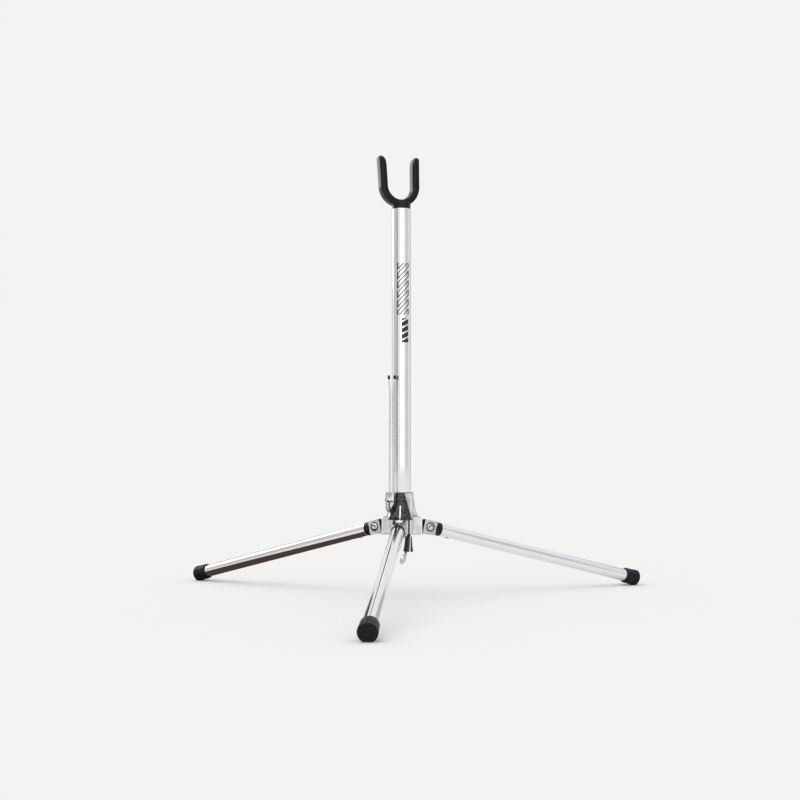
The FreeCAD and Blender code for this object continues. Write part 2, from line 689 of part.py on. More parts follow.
core = new_body("yoke_core", U_PLACE)
core_shape = loop(sketch(core, "CoreShape", "XZ_Plane"), [
    ("core_in", "yoke_centre", bowl),
    ("-core_in", "yoke_centre", None),
    ("-core_in_top", "core_top", None),
    ("-core_out_top", "core_top", None),
    ("-core_out", "yoke_centre", bowl_out),
    ("core_out", "yoke_centre", None),
    ("core_out_top", "core_top", None),
    ("core_in_top", "core_top", None),
])
pad(core, "CoreBar", core_shape, 6.4).setExpression("Length", "Dims.core_depth")
# the stem stays upright on the column's axis: its sketch undoes the lean
upright = Placement(Vector(), Rotation(Vector(1, 0, 0), 90))
stem_at = upright.inverse().multiply(LEAN.inverse()).multiply(upright)
stem = outline(sketch(core, "StemProfile", "XZ_Plane", stem_at), [
    ("zero", "stem_bottom"), ("stem_radius", "stem_bottom"),
    ("stem_radius", "stem_top"), ("zero", "stem_top"),
])
turn(core, "Stem", stem, "V_Axis")

plug_form = new_body("plug_form", YOKE)
plug_shape = outline(sketch(plug_form, "PlugShape", "XZ_Plane"), [
    ("stem_radius", "plug_bottom"), ("column_bore", "plug_bottom"),
    ("column_bore", "column_top"), ("neck_under", "column_top"),
    ("neck_radius", "neck_top"), ("stem_radius", "neck_top"),
])
turn(plug_form, "Plug", plug_shape, "V_Axis")
doc.recompute()


def cut(name, base, tool):
    made = doc.addObject("Part::Cut", name)
    made.Label = name
    made.Base = base
    made.Tool = tool
    return made


sleeve = cut("yoke_sleeve", yoke_form, core)
plug = cut("yoke_plug", plug_form, yoke_form)

washer = new_body("yoke_washer", YOKE)
ring = outline(sketch(washer, "RingProfile", "XZ_Plane"), [
    ("stem_radius", "washer_bottom"), ("washer_radius", "washer_bottom"),
    ("washer_radius", "plug_bottom"), ("stem_radius", "plug_bottom"),
])
turn(washer, "Ring", ring, "V_Axis")

HEX = [(1, 0), (0.5, 1), (-0.5, 1), (-1, 0), (-0.5, -1), (0.5, -1)]


def hexagon(made, corner, half_corner, flats):
    """Six-sided outline from its corner distance and half width over flats."""
    names = {1: corner, 0.5: half_corner, -0.5: "-" + half_corner, -1: "-" + corner}
    sides = {0: "zero", 1: flats, -1: "-" + flats}
    return outline(made, [(names[a], sides[b]) for a, b in HEX])


def nut(name, where, role, start, height, bore, corner, half_corner, flats, back=False):
    """Hexagon nut with a plain bore, standing on a plane offset along its axis."""
    body = new_body(name, where)
    at = Placement(Vector(0, 0, start), Rotation())
    six = hexagon(sketch(body, "Six", role, at), corner, half_corner, flats)
    circle(six, "zero", "zero", bore)
    pad(body, "Nut", six, height, middle=False, back=back)
    return body


stem_nut = nut(
    "yoke_nut", YOKE, "XY_Plane", size("stem_nut_bottom"), "stem_nut_height",
    "stem_radius", "stem_nut_corner", "stem_nut_corner_half", "stem_nut_half_flats",
)
doc.recompute()

# ---------------------------------------------------------------------- legs
leg_nodes = []
for side, turned in LEGS:
    frame = leg_frame(turned)

    knuckle = new_body("knuckle_" + side, frame)
    block = outline(sketch(knuckle, "BlockProfile", "XZ_Plane"), [
        ("face_top_x", "knuckle_top"), ("face_low_x", "face_low_z"),
        ("knuckle_end", "-collar_radius"), ("knuckle_end", "knuckle_top"),
    ])
    pad(knuckle, "Block", block, "knuckle_half_width")
    soften(knuckle, "NoseRound", "knuckle_round", lambda edge: (
        edge.BoundBox.YLength > 1
        and edge.BoundBox.XLength < 1e-6
        and abs(edge.BoundBox.XMin - size("face_top_x")) < 1e-6
    ))
    doc.recompute()
    spigot = outline(sketch(knuckle, "SpigotProfile", "XZ_Plane"), [
        ("spigot_start", "zero"), ("spigot_end", "zero"),
        ("spigot_end", "leg_tube_bore"), ("spigot_start", "leg_tube_bore"),
    ])
    turn(knuckle, "Spigot", spigot)
    fork_cut = outline(sketch(knuckle, "ForkCutProfile", "XZ_Plane"), [
        ("fork_cut_in", "fork_cut_low"), ("fork_floor", "fork_cut_low"),
        ("fork_floor", "fork_cut_top"), ("fork_cut_in", "fork_cut_top"),
    ])
    pad(knuckle, "ForkCut", fork_cut, "fork_slot_half", cut=True)
    pin_hole = circle(sketch(knuckle, "PinHoleProfile", "XZ_Plane"), "zero", "zero", "pin_radius")
    pad(knuckle, "PinHole", pin_hole, 40.0, cut=True)
    rivet_hole = circle(
        sketch(knuckle, "RivetHoleProfile", "XY_Plane"), "rivet_position", "zero", "rivet_radius")
    pad(knuckle, "RivetHole", rivet_hole, 20.0, middle=False, cut=True)

    pin = new_body("fold_pin_" + side, frame)
    pin_form = outline(sketch(pin, "PinForm", "XY_Plane"), [
        ("zero", "-pin_head_end"), ("pin_head_small", "-pin_head_end"),
        ("pin_head_wide", "-pin_head_mid"), ("pin_head_radius", "-knuckle_half_width"),
        ("pin_radius", "-knuckle_half_width"), ("pin_radius", "knuckle_half_width"),
        ("pin_head_radius", "knuckle_half_width"), ("pin_head_wide", "pin_head_mid"),
        ("pin_head_small", "pin_head_end"), ("zero", "pin_head_end"),
    ])
    turn(pin, "Pin", pin_form, "V_Axis")

    link = new_body("draw_link_" + side, frame)
    eye = circle(sketch(link, "EyeProfile", "XZ_Plane"), "zero", "zero", "eye_radius")
    pad(link, "Eye", eye, "eye_half")
    rod = outline(sketch(link, "RodProfile", "XZ_Plane"), [
        ("rod_end", "zero"), ("eye_back", "zero"), ("eye_back", "rod_radius"), ("rod_end", "rod_radius"),
    ])
    turn(link, "Rod", rod)
    eye_bore = circle(sketch(link, "EyeBoreProfile", "XZ_Plane"), "zero", "zero", "slot_radius")
    pad(link, "EyeBore", eye_bore, 40.0, cut=True)

    draw_nut = nut(
        "draw_nut_" + side, frame, "YZ_Plane", -size("nut_outer"), "nut_height",
        "rod_radius", "nut_corner", "nut_corner_half", "nut_half_flats",
    )

    spring = new_body("return_spring_" + side, frame)
    coil_wire = circle(
        sketch(spring, "WireProfile", "XZ_Plane"),
        "spring_start", "spring_mean_radius", "spring_wire_radius")
    coil = spring.newObject("PartDesign::AdditiveHelix", "Coil")
    coil.Profile = coil_wire
    coil.ReferenceAxis = (coil_wire, ["H_Axis"])
    coil.Mode = 2
    coil.Reversed = False
    coil.setExpression("Height", "Dims.spring_rise")
    coil.setExpression("Turns", "Dims.spring_turns")

    collar = new_body("collar_" + side, frame)
    collar_form = outline(sketch(collar, "CollarForm", "XZ_Plane"), [
        ("knuckle_end", "leg_tube_bore"), ("collar_end", "leg_tube_bore"),
        ("collar_end", "collar_radius"), ("knuckle_end", "collar_radius"),
    ])
    turn(collar, "Collar", collar_form)
    soften(collar, "CollarRound", 0.6,
           lambda edge: around_x(edge, size("collar_end"), size("collar_radius")))

    tube = new_body("leg_tube_" + side, frame)
    tube_form = outline(sketch(tube, "TubeForm", "XZ_Plane"), [
        ("collar_end", "leg_tube_bore"), ("tube_end", "leg_tube_bore"),
        ("tube_end", "leg_tube_radius"), ("collar_end", "leg_tube_radius"),
    ])
    turn(tube, "Tube", tube_form)
    tube_hole = circle(
        sketch(tube, "TubeHoleProfile", "XY_Plane"), "rivet_position", "zero", "rivet_radius")
    pad(tube, "TubeHole", tube_hole, 20.0, middle=False, cut=True)

    rivet = new_body("tube_rivet_" + side, frame)
    rivet_at = Placement(Vector(size("rivet_position"), 0, 0), Rotation())
    rivet_form = outline(sketch(rivet, "RivetForm", "XZ_Plane", rivet_at), [
        ("zero", "rivet_inner"), ("rivet_radius", "rivet_inner"), ("rivet_radius", "rivet_seat"),
        ("rivet_head_radius", "rivet_seat"), ("rivet_small", "rivet_top"), ("zero", "rivet_top"),
    ])
    turn(rivet, "Rivet", rivet_form, "V_Axis")

    cap = new_body("foot_cap_" + side, frame)
    cap_form = outline(sketch(cap, "CapForm", "XZ_Plane"), [
        ("cap_start", "leg_tube_radius"), ("cap_start", "cap_radius"), ("cap_end", "cap_radius"),
        ("cap_end", "zero"), ("tube_end", "zero"), ("tube_end", "leg_tube_radius"),
    ])
    turn(cap, "Cap", cap_form)
    soften(cap, "FootRound", "foot_round", lambda edge: around_x(edge, size("cap_end"), size("cap_radius")))
    soften(cap, "MouthRound", 0.7, lambda edge: around_x(edge, size("cap_start"), size("cap_radius")))
    floor_line = Placement(Vector(size("floor_x"), size("floor_z"), 0), Rotation(Vector(0, 0, 1), SLOPE))
    flat = outline(sketch(cap, "FlatProfile", "XZ_Plane", floor_line), [
        ("flat_near", "flat_low"), ("flat_far", "flat_low"), ("flat_far", "zero"), ("flat_near", "zero"),
    ])
    pad(cap, "Flat", flat, 40.0, cut=True)
    doc.recompute()
    leg_nodes += [knuckle, pin, link, draw_nut, spring, collar, tube, rivet, cap]

# ----------------------------------------------------------------- wire fork
fork_at = Vector(size("fork_x"), size("fork_y"), size("fork_pivot_z"))
fork_spin = Rotation(Vector(0, 0, 1), size("fork_turn"))
FORK = STAND.multiply(Placement(fork_at, fork_spin))
wires = []
tips = []
for side, flip in (("left", -1), ("right", 1)):
    stops = [
        Vector(flip * size("wire_base_half"), 0, size("wire_base_low")),
        Vector(flip * size("wire_waist_half"), 0, size("wire_waist_up")),
        Vector(flip * size("wire_tip_half"), 0, size("wire_tip_up")),
    ]
    runs = []
    for part_name, low, high in (("lower", stops[0], stops[1]), ("upper", stops[1], stops[2])):
        rod_run = doc.addObject("Part::Cylinder", "wire_%s_%s" % (part_name, side))
        bind(rod_run, "Radius", "wire_radius")
        rod_run.Height = (high - low).Length
        rod_run.Placement = FORK.multiply(Placement(low, Rotation(Vector(0, 0, 1), high - low)))
        runs.append(rod_run)
    elbow = doc.addObject("Part::Sphere", "wire_elbow_" + side)
    bind(elbow, "Radius", "wire_radius")
    elbow.Placement = FORK.multiply(Placement(stops[1], Rotation()))
    wire = doc.addObject("Part::MultiFuse", "fork_wire_" + side)
    wire.Label = "fork_wire_" + side
    wire.Shapes = runs + [elbow]
    wires.append(wire)

    lean = math.degrees(math.atan2(
        size("wire_tip_half") - size("wire_waist_half"), size("wire_tip_up") - size("wire_waist_up")
    ))
    at = Placement(
        Vector(flip * size("wire_tip_half"), 0, size("wire_tip_up") + 1.2),
        Rotation(Vector(0, 1, 0), flip * lean),
    )
    tip = new_body("tip_form_" + side, FORK.multiply(at))
    tip_form = outline(sketch(tip, "TipForm", "XZ_Plane"), [
        ("zero", "tip_start"), ("tip_radius", "tip_start"), ("tip_radius", "tip_shoulder"),
        ("tip_end_small", "zero"), ("zero", "zero"),
    ])
    turn(tip, "Tip", tip_form, "V_Axis")
    doc.recompute()
    tips.append(cut("fork_tip_" + side, tip, wire))

block_form = new_body("fork_block_form", FORK)
block_side = outline(sketch(block_form, "BlockSide", "YZ_Plane"), [
    ("-fork_half_depth", "zero"), ("fork_half_depth", "zero"),
    ("fork_half_depth", "fork_block_top"), ("-fork_half_depth", "fork_block_top"),
])
pad(block_form, "Block", block_side, "fork_half_width")
block_round = circle(sketch(block_form, "BlockRound", "YZ_Plane"), "zero", "zero", "fork_half_depth")
pad(block_form, "Round", block_round, "fork_half_width")
block_bore = circle(sketch(block_form, "BlockBore", "YZ_Plane"), "zero", "zero", "fork_bore")
pad(block_form, "Bore", block_bore, 40.0, cut=True)
half_block = cut("half_block", block_form, wires[0])
fork_block = cut("fork_block", half_block, wires[1])

pivot = new_body("fork_pivot_screw", STAND)
pivot_form = outline(sketch(pivot, "PivotForm", "XZ_Plane", pivot_line), [
    ("screw_head_x", "zero"), ("ear_right", "zero"), ("ear_right", "screw_radius"),
    ("ear_left", "screw_radius"), ("ear_left", "screw_head_radius"), ("screw_head_x", "screw_head_radius"),
])
turn(pivot, "Pivot", pivot_form)

# --------------------------------------------------------------- hanging cord
BEND = 0.45


def cord_path(points):
    """Straight runs joined by tangent arcs; prints each bend's radius."""
    edges = []
    here = points[0]
    for i in range(1, len(points) - 1):
        back_way = points[i - 1] - points[i]
        on_way = points[i + 1] - points[i]
        short = min(back_way.Length, on_way.Length)
        back_way.normalize()
        on_way.normalize()
        half = (math.pi - back_way.getAngle(on_way)) / 2
        reach = BEND * short
        radius = reach / math.tan(half)
        print("cord bend", i, "radius", round(radius, 1))
        start = points[i] + back_way * reach
        stop = points[i] + on_way * reach
        inward = back_way + on_way
        inward.normalize()
        middle = points[i] + inward * (radius / math.cos(half) - radius)
        edges.append(Part.LineSegment(here, start).toShape())
        edges.append(Part.Arc(start, middle, stop).toShape())
        here = stop
    edges.append(Part.LineSegment(here, points[-1]).toShape())
    return Part.Wire(edges)


line = cord_path(CORD_ROUTE)
around = Part.Circle(CORD_ROUTE[0], CORD_ROUTE[1] - CORD_ROUTE[0], size("cord_radius"))
cord_solid = line.makePipeShell([Part.Wire(around.toShape())], True, False)
expected = math.pi * size("cord_radius") ** 2 * line.Length
print("cord length", round(line.Length, 1), "volume ratio", round(cord_solid.Volume / expected, 4))
if abs(cord_solid.Volume / expected - 1) > 0.01:
    raise RuntimeError("the cord's volume is off")
cord = doc.addObject("Part::Feature", "tail_cord")
cord.Label = "tail_cord"
cord.Shape = cord_solid
cord.Placement = STAND


def on_cord(index, along):
    """Frame on the cord: at a distance along one run, Z back up the run."""
    start, stop = CORD_ROUTE[index], CORD_ROUTE[index + 1]
    way = stop - start
    way.normalize()
    return STAND.multiply(Placement(start + way * along, Rotation(Vector(0, 0, -1), way)))


bell = new_body("bell_form", on_cord(1, 4.6))
bell_shape = outline(sketch(bell, "BellForm", "XZ_Plane"), [
    ("zero", "zero"), ("bell_crown", "zero"), ("bell_top_radius", "bell_shoulder"),
    ("bell_mid_radius", "bell_mid"), ("bell_foot_radius", "bell_foot"),
    ("bell_wall_foot", "bell_foot"), ("bell_wall_mid", "bell_mid"),
    ("bell_crown", "bell_roof"), ("zero", "bell_roof"),
])
turn(bell, "Bell", bell_shape, "V_Axis")
grommet = new_body("grommet_form", on_cord(1, 4.6))
grommet_shape = outline(sketch(grommet, "GrommetForm", "XZ_Plane"), [
    ("zero", "zero"), ("grommet_radius", "zero"),
    ("grommet_radius", "grommet_height"), ("zero", "grommet_height"),
])
turn(grommet, "Grommet", grommet_shape, "V_Axis")
spindle = new_body("spindle_form", on_cord(2, 5.2))
spindle_shape = outline(sketch(spindle, "SpindleForm", "XZ_Plane"), [
    ("zero", "zero"), ("spindle_neck", "zero"), ("spindle_neck", "spindle_neck_end"),
    ("spindle_radius", "spindle_belly"), ("spindle_foot", "spindle_low"), ("zero", "spindle_low"),
])
turn(spindle, "Spindle", spindle_shape, "V_Axis")
doc.recompute()
cord_bell = cut("cord_bell", bell, cord)
cord_grommet = cut("cord_grommet", grommet, cord)
cord_tip = cut("cord_tip", spindle, cord)
doc.recompute()

# -------------------------------------------------------------------- export
NODES = [hub, column, set_screw, plug, core, sleeve, washer, stem_nut]
NODES += leg_nodes + [fork_block] + wires + tips
NODES += [pivot, cord, cord_bell, cord_grommet, cord_tip]
for thing in doc.Objects:
    if "Invalid" in thing.State or "Error" in thing.State:
        raise RuntimeError("not built: " + thing.Name + " " + str(thing.State))
for node in NODES:
    shape = node.Shape
    if shape.isNull() or not shape.isValid() or len(shape.Solids) != 1:
        raise RuntimeError("bad shape: %s %d" % (node.Label, len(shape.Solids)))
for node in NODES:
    node.Shape.exportStep("parts/%s.step" % node.Label)
print("nodes", len(NODES))
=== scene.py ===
# %% [markdown]
# # A folding tripod stand with a soft yoke
# The stand is three tube legs on a cast hub, one upright tube, a soft black U on top, a small wire
# fork and a short hanging cord. The exact parts come from the CAD model as a fixed frame. Blender adds
# what a CAD solid lacks: rounded edges that catch light, small surface detail, and real finishes.

# %% Load the frame
import json
import math
import bmesh
import bpy
from mathutils import Matrix, Vector


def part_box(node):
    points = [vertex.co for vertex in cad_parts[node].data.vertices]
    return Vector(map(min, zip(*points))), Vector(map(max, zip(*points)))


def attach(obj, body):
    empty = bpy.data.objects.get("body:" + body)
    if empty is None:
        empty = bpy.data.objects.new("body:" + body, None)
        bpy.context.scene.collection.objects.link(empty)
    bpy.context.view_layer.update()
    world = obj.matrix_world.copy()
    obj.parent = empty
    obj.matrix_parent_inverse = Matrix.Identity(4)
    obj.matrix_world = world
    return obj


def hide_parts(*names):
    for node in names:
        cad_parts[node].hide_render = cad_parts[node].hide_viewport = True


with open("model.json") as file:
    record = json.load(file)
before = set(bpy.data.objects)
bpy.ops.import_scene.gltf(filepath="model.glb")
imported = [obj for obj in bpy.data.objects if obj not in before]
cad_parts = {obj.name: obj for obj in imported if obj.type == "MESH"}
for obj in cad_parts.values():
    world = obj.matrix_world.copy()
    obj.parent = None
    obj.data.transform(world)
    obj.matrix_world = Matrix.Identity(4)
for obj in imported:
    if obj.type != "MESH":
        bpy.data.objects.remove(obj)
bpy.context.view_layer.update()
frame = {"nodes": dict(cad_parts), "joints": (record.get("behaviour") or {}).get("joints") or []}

MM = 0.001
nodes = frame["nodes"]
joints = {j["name"]: j for j in frame["joints"]}

# %% [markdown]
# Places are read from the frame, so the pieces follow the CAD model if it changes. The column's axis
# is the middle of the column tube's box. A leg's own frame has its origin on the fold pin, X out along
# the leg and Y along the pin, which turns every leg piece into a simple shape about one axis.

# %% Frames of the column, the legs, the yoke and the fork
SIDES = ("front", "right", "left")
YOKE_TURN, YOKE_LEAN, YOKE_OFFSET = math.radians(30), math.radians(2.3), 1.8


def middle(node):
    low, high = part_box(node)
    return (Vector(low) + Vector(high)) / 2


AXIS = middle("column_tube")
COLUMN = Matrix.Translation((AXIS.x, AXIS.y, 0))
TURNED = COLUMN @ Matrix.Rotation(YOKE_TURN, 4, "Z")
COLUMN_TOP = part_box("column_tube")[1][2]
NECK_SPOT = Matrix.Translation((0, 0, COLUMN_TOP))
LEANED = NECK_SPOT @ Matrix.Rotation(-YOKE_LEAN, 4, "Y") @ NECK_SPOT.inverted()
YOKE = TURNED @ Matrix.Translation((-YOKE_OFFSET * MM, 0, 0)) @ LEANED


def leg_frame(side):
    out = Vector(joints["pull_" + side]["axis"])
    across = -Vector(joints["fold_" + side]["axis"])
    turn = Matrix((out, across, out.cross(across))).transposed().to_4x4()
    return Matrix.Translation(joints["fold_" + side]["pos_m"]) @ turn


LEG = {side: leg_frame(side) for side in SIDES}
across = Vector(joints["fork_fold"]["axis"])
up = Vector((0, 0, 1))
fork_turn = Matrix((across, up.cross(across), up)).transposed().to_4x4()
FORK = Matrix.Translation(joints["fork_fold"]["pos_m"]) @ fork_turn


def extent(node, place=Matrix.Identity(4)):
    """Lowest and highest corner of a CAD node, measured in a frame of its own."""
    back = place.inverted()
    points = [back @ v.co for v in nodes[node].data.vertices]
    low = Vector(min(p[i] for p in points) for i in range(3))
    high = Vector(max(p[i] for p in points) for i in range(3))
    return low, high


print("column at", AXIS.x, AXIS.y, "leg frames", len(LEG))

# %% [markdown]
# Shader maths is easier to read as maths. This class wraps a node socket, so `1 - mask * 0.4` adds the
# Math nodes by itself. `Finish` starts a material and has one method for every other kind of node.

# %% Sockets that can be added and multiplied
class Sock:
    def __init__(self, finish, out):
        self.finish, self.out = finish, out

    def _math(self, kind, a, b=None):
        values = {0: a} if b is None else {0: a, 1: b}
        return self.finish.node("ShaderNodeMath", {"operation": kind}, values)

    def __add__(self, other): return self._math("ADD", self, other)
    def __radd__(self, other): return self._math("ADD", other, self)
    def __sub__(self, other): return self._math("SUBTRACT", self, other)
    def __rsub__(self, other): return self._math("SUBTRACT", other, self)
    def __mul__(self, other): return self._math("MULTIPLY", self, other)
    def __rmul__(self, other): return self._math("MULTIPLY", other, self)
    def __truediv__(self, other): return self._math("DIVIDE", self, other)
    def __gt__(self, other): return self._math("GREATER_THAN", self, other)
    def __lt__(self, other): return self._math("LESS_THAN", self, other)
    def __abs__(self): return self._math("ABSOLUTE", self)
    def wrap(self): return self._math("FRACT", self)
    def power(self, other): return self._math("POWER", self, other)
    def sine(self): return self._math("SINE", self)


# %% [markdown]
# Every material starts the same way, so one small class holds it. All nodes but the Math ones come from
# one method. Coordinates are in millimetres, so a noise scale of 2 means detail half a millimetre wide.

# %% One material and its nodes
class Finish:
    def __init__(self, name, **fixed):
        self.material = bpy.data.materials.new(name)
        self.material.use_nodes = True
        self.tree = self.material.node_tree
        self.shader = self.tree.nodes["Principled BSDF"]
        for socket, value in fixed.items():
            self.shader.inputs[socket.replace("_", " ")].default_value = value

    def node(self, kind, settings=None, values=None, out=0):
        """Any node: its settings first, then the values or links of its sockets."""
        made = self.tree.nodes.new(kind)
        for name, value in (settings or {}).items():
            setattr(made, name, value)
        for name, value in (values or {}).items():
            if isinstance(value, Sock):
                self.tree.links.new(value.out, made.inputs[name])
            else:
                made.inputs[name].default_value = value
        return Sock(self, made.outputs[out])

    def place(self, scale=(1, 1, 1), move=(0, 0, 0)):
        """The piece's own coordinates in millimetres, stretched."""
        own = self.node("ShaderNodeTexCoord", out="Object")
        stretch = {"Vector": own, "Scale": [s / MM for s in scale], "Location": move}
        return self.node("ShaderNodeMapping", None, stretch)

    def axes(self):
        """The three own coordinates in millimetres as separate numbers."""
        first = self.node("ShaderNodeSeparateXYZ", None, {"Vector": self.place()})
        return [Sock(self, part) for part in first.out.node.outputs]

    def noise(self, scale, detail=3, rough=0.55, at=None, warp=0.0):
        values = {"Vector": at or self.place(), "Scale": scale, "Detail": detail}
        values.update({"Roughness": rough, "Distortion": warp})
        return self.node("ShaderNodeTexNoise", None, values)

    def level(self, value, low, high, to_low=0.0, to_high=1.0):
        """Maps a stretch of a value to another, kept inside it."""
        values = {"Value": value, "From Min": low, "From Max": high}
        values.update({"To Min": to_low, "To Max": to_high})
        return self.node("ShaderNodeMapRange", {"clamp": True}, values)

    def blend(self, share, first, second):
        settings = {"data_type": "RGBA"}
        made = self.node("ShaderNodeMix", settings, {"Factor": share}, out=2)
        for index, colour in ((6, first), (7, second)):
            if isinstance(colour, Sock):
                self.tree.links.new(colour.out, made.out.node.inputs[index])
            else:
                made.out.node.inputs[index].default_value = (*colour, 1)
        return made

    def bump(self, height, depth, strength=1.0):
        """Height in millimetres of relief, to the shader's normal."""
        values = {"Height": height, "Distance": depth * MM, "Strength": strength}
        self.link("Normal", self.node("ShaderNodeBump", None, values))

    def link(self, socket, value):
        self.tree.links.new(value.out, self.shader.inputs[socket])


# %% [markdown]
# ## Finishes
# The tubes are polished aluminium. Drawn tube keeps faint lines along its length even after polishing,
# so the noise is stretched along the tube, and it moves the roughness more than the colour. A mirror
# finish is mostly what it reflects, so the dark cards further down matter as much as this material.

# %% Polished tube, with lines along one axis
def polished_tube(name, along):
    f = Finish(name, Metallic=1.0, Specular_IOR_Level=0.5)
    stretch = [0.03 if axis == along else 1.0 for axis in "XYZ"]
    lines = f.noise(2.6, 5, 0.62, f.place(stretch))
    haze = f.noise(0.035, 3, 0.5)
    tone = f.blend(f.level(lines, 0.3, 0.7), (0.80, 0.815, 0.83), (0.90, 0.905, 0.91))
    f.link("Base Color", tone)
    f.link("Roughness", f.level(haze, 0.35, 0.7, 0.055, 0.12) + f.level(lines, 0.4, 0.8, 0.0, 0.05))
    f.bump(lines, 0.004, 0.35)
    return f


COLUMN_METAL = polished_tube("polished_column_tube", "Z")
LEG_METAL = polished_tube("polished_leg_tube", "X")
print("tubes", COLUMN_METAL.material.name, LEG_METAL.material.name)

# %% [markdown]
# Screws, pins, nuts and springs are steel. Fine turning marks and faint stains set them apart from the
# softer castings, and zinc plating is duller and a little yellow.

# %% Turned steel, bright or zinc plated
def steel(name, colour, rough, ring=3.0):
    f = Finish(name, Metallic=1.0)
    lathe_marks = f.noise(ring, 3, 0.7)
    stain = f.noise(0.3, 3, 0.6)
    f.link("Base Color", f.blend(f.level(stain, 0.35, 0.7), colour, [c * 0.72 for c in colour]))
    f.link("Roughness", f.level(lathe_marks, 0.3, 0.7, rough, rough + 0.14))
    f.bump(lathe_marks, 0.01, 0.4)
    return f


BRIGHT_STEEL = steel("bright_steel", (0.72, 0.72, 0.73), 0.16)
ZINC_STEEL = steel("zinc_plated_steel", (0.60, 0.59, 0.55), 0.30)
DARK_STEEL = steel("blackened_steel", (0.07, 0.07, 0.075), 0.32)
SPRING_STEEL = steel("spring_steel", (0.42, 0.42, 0.44), 0.26)
WIRE_STEEL = steel("plated_wire", (0.70, 0.71, 0.72), 0.18, 1.2)
print("steels", BRIGHT_STEEL.material.name, ZINC_STEEL.material.name, SPRING_STEEL.material.name)

# %% [markdown]
# The hub and the knuckles are small pressure castings, tumbled and polished. Castings keep a soft
# orange-peel ripple and a few pin holes, and their hollows are painted darker as painted shade. Pointiness
# tells hollows from rims, so the same value also draws the hub's thin dark outlines, a painted reflection
# along its edges. It needs a dense, even mesh: on the plain knuckle blocks it would spread over whole
# faces, so they have no outline.

# %% Cast and polished metal, with painted shade and painted outlines
def casting(name, light, dark, rough, ripple, outline=0.0):
    f = Finish(name, Metallic=1.0)
    peel = f.noise(0.55, 4, 0.5)
    pits = f.level(f.noise(3.4, 2, 0.4), 0.70, 0.78)
    cloud = f.noise(0.12, 4, 0.6)
    pointiness = f.node("ShaderNodeNewGeometry", out="Pointiness")
    corner = f.level(pointiness, 0.455, 0.496)
    base = f.blend(f.level(cloud, 0.35, 0.65), dark, light)
    # Painted shade: the hollows, where pointiness is low, are darkened nearly to black.
    base = f.blend(corner, [c * 0.12 for c in dark], base)
    # Painted reflection: the sharpest outer edges darken into thin dark outlines.
    edge_reflection = f.level(pointiness, 0.506, 0.53) * outline
    f.link("Base Color", f.blend(edge_reflection, base, [c * 0.30 for c in dark]))
    f.link("Roughness", f.level(cloud, 0.3, 0.7, rough, rough + 0.12) + pits * 0.2)
    f.bump(peel - pits * 0.4, ripple, 0.6)
    return f


HUB_METAL = casting("polished_hub_casting", (0.88, 0.89, 0.92), (0.64, 0.65, 0.68), 0.12, 0.08,
                    outline=1.0)
BELL_METAL = casting("bell_painted_reflection", (0.80, 0.77, 0.76), (0.62, 0.60, 0.60), 0.12, 0.05)
KNUCKLE_METAL = casting("satin_knuckle_casting", (0.72, 0.73, 0.75), (0.50, 0.51, 0.53), 0.20, 0.10)
print("cast metals", HUB_METAL.material.name, BELL_METAL.material.name, KNUCKLE_METAL.material.name)

# %% [markdown]
# Shade is painted where parts meet. The knuckle is painted dark in a ring about the pin, as shade round
# each rivet head, and across its inner end, as shade in the gap to the hub's arm. A mask is a distance
# turned into a number from 0 to 1, and `cover` blends a dark or bright colour over whatever the finish
# had.

# %% Painted shade round the pins and a painted reflection in the rivet heads
# Near black for painted shade and painted dark reflections.
SHADE_BLACK = (0.012, 0.012, 0.014)
PIN_RING, PIN_FACE, KNUCKLE_INNER_END = 4.0, 5.4, -6.6
DIMPLE_RING = 1.9


def cover(finish, mask, colour, extra_rough):
    f = finish
    base = Sock(f, f.shader.inputs["Base Color"].links[0].from_socket)
    rough = Sock(f, f.shader.inputs["Roughness"].links[0].from_socket)
    f.link("Base Color", f.blend(mask, base, colour))
    f.link("Roughness", rough + mask * extra_rough)


def pin_shade(finish):
    """The knuckle's own origin is on the pin, which runs along Y."""
    x, y, z = finish.axes()
    reach = (x * x + z * z).power(0.5)
    # Painted shade: a dark ring round the rivet head and a dark band across the knuckle's inner end.
    ring = finish.level(abs(reach - PIN_RING), 0.35, 0.95, 1.0, 0.0)
    face = finish.level(abs(y), PIN_FACE, PIN_FACE + 0.3)
    inner_end = finish.level(x, KNUCKLE_INNER_END - 0.8, KNUCKLE_INNER_END, 1.0, 0.0)
    cover(finish, finish.level(ring * face + inner_end, 0.0, 1.0), SHADE_BLACK, 0.25)


def rivet_reflection(finish):
    """Painted reflection: the dimple's edge on the rivet head is darkened, more on one side."""
    x, y, z = finish.axes()
    reach = (y * y + z * z).power(0.5)
    dimple = finish.level(abs(reach - DIMPLE_RING), 0.3, 0.8, 1.0, 0.0)
    side = finish.level(z + y * 0.6, -1.2, 0.4)
    cover(finish, dimple * side, SHADE_BLACK, 0.2)


RIVET_STEEL = steel("riveted_pin_steel", (0.80, 0.80, 0.81), 0.14)
pin_shade(KNUCKLE_METAL)
rivet_reflection(RIVET_STEEL)
print("painted_shade_and_reflection on", KNUCKLE_METAL.material.name, RIVET_STEEL.material.name)

# %% [markdown]
# The lips at the arms' ends stick out and carry a painted highlight, brighter than the arm. The bell on
# the cord is painted nearly black but for one bright side, a painted reflection. The little spindle below
# it and the fork's block are evenly polished, so a plain casting finish does for them.

# %% Painted highlight on the lips, painted reflection on the bell, spindle and fork block
LIP_REACH, LIP_HALF = 19.1, 0.6
ARM_TURNS = [math.radians(turn) for turn in (-90, 30, 150)]
BELL_BRIGHT_AT = 2.1


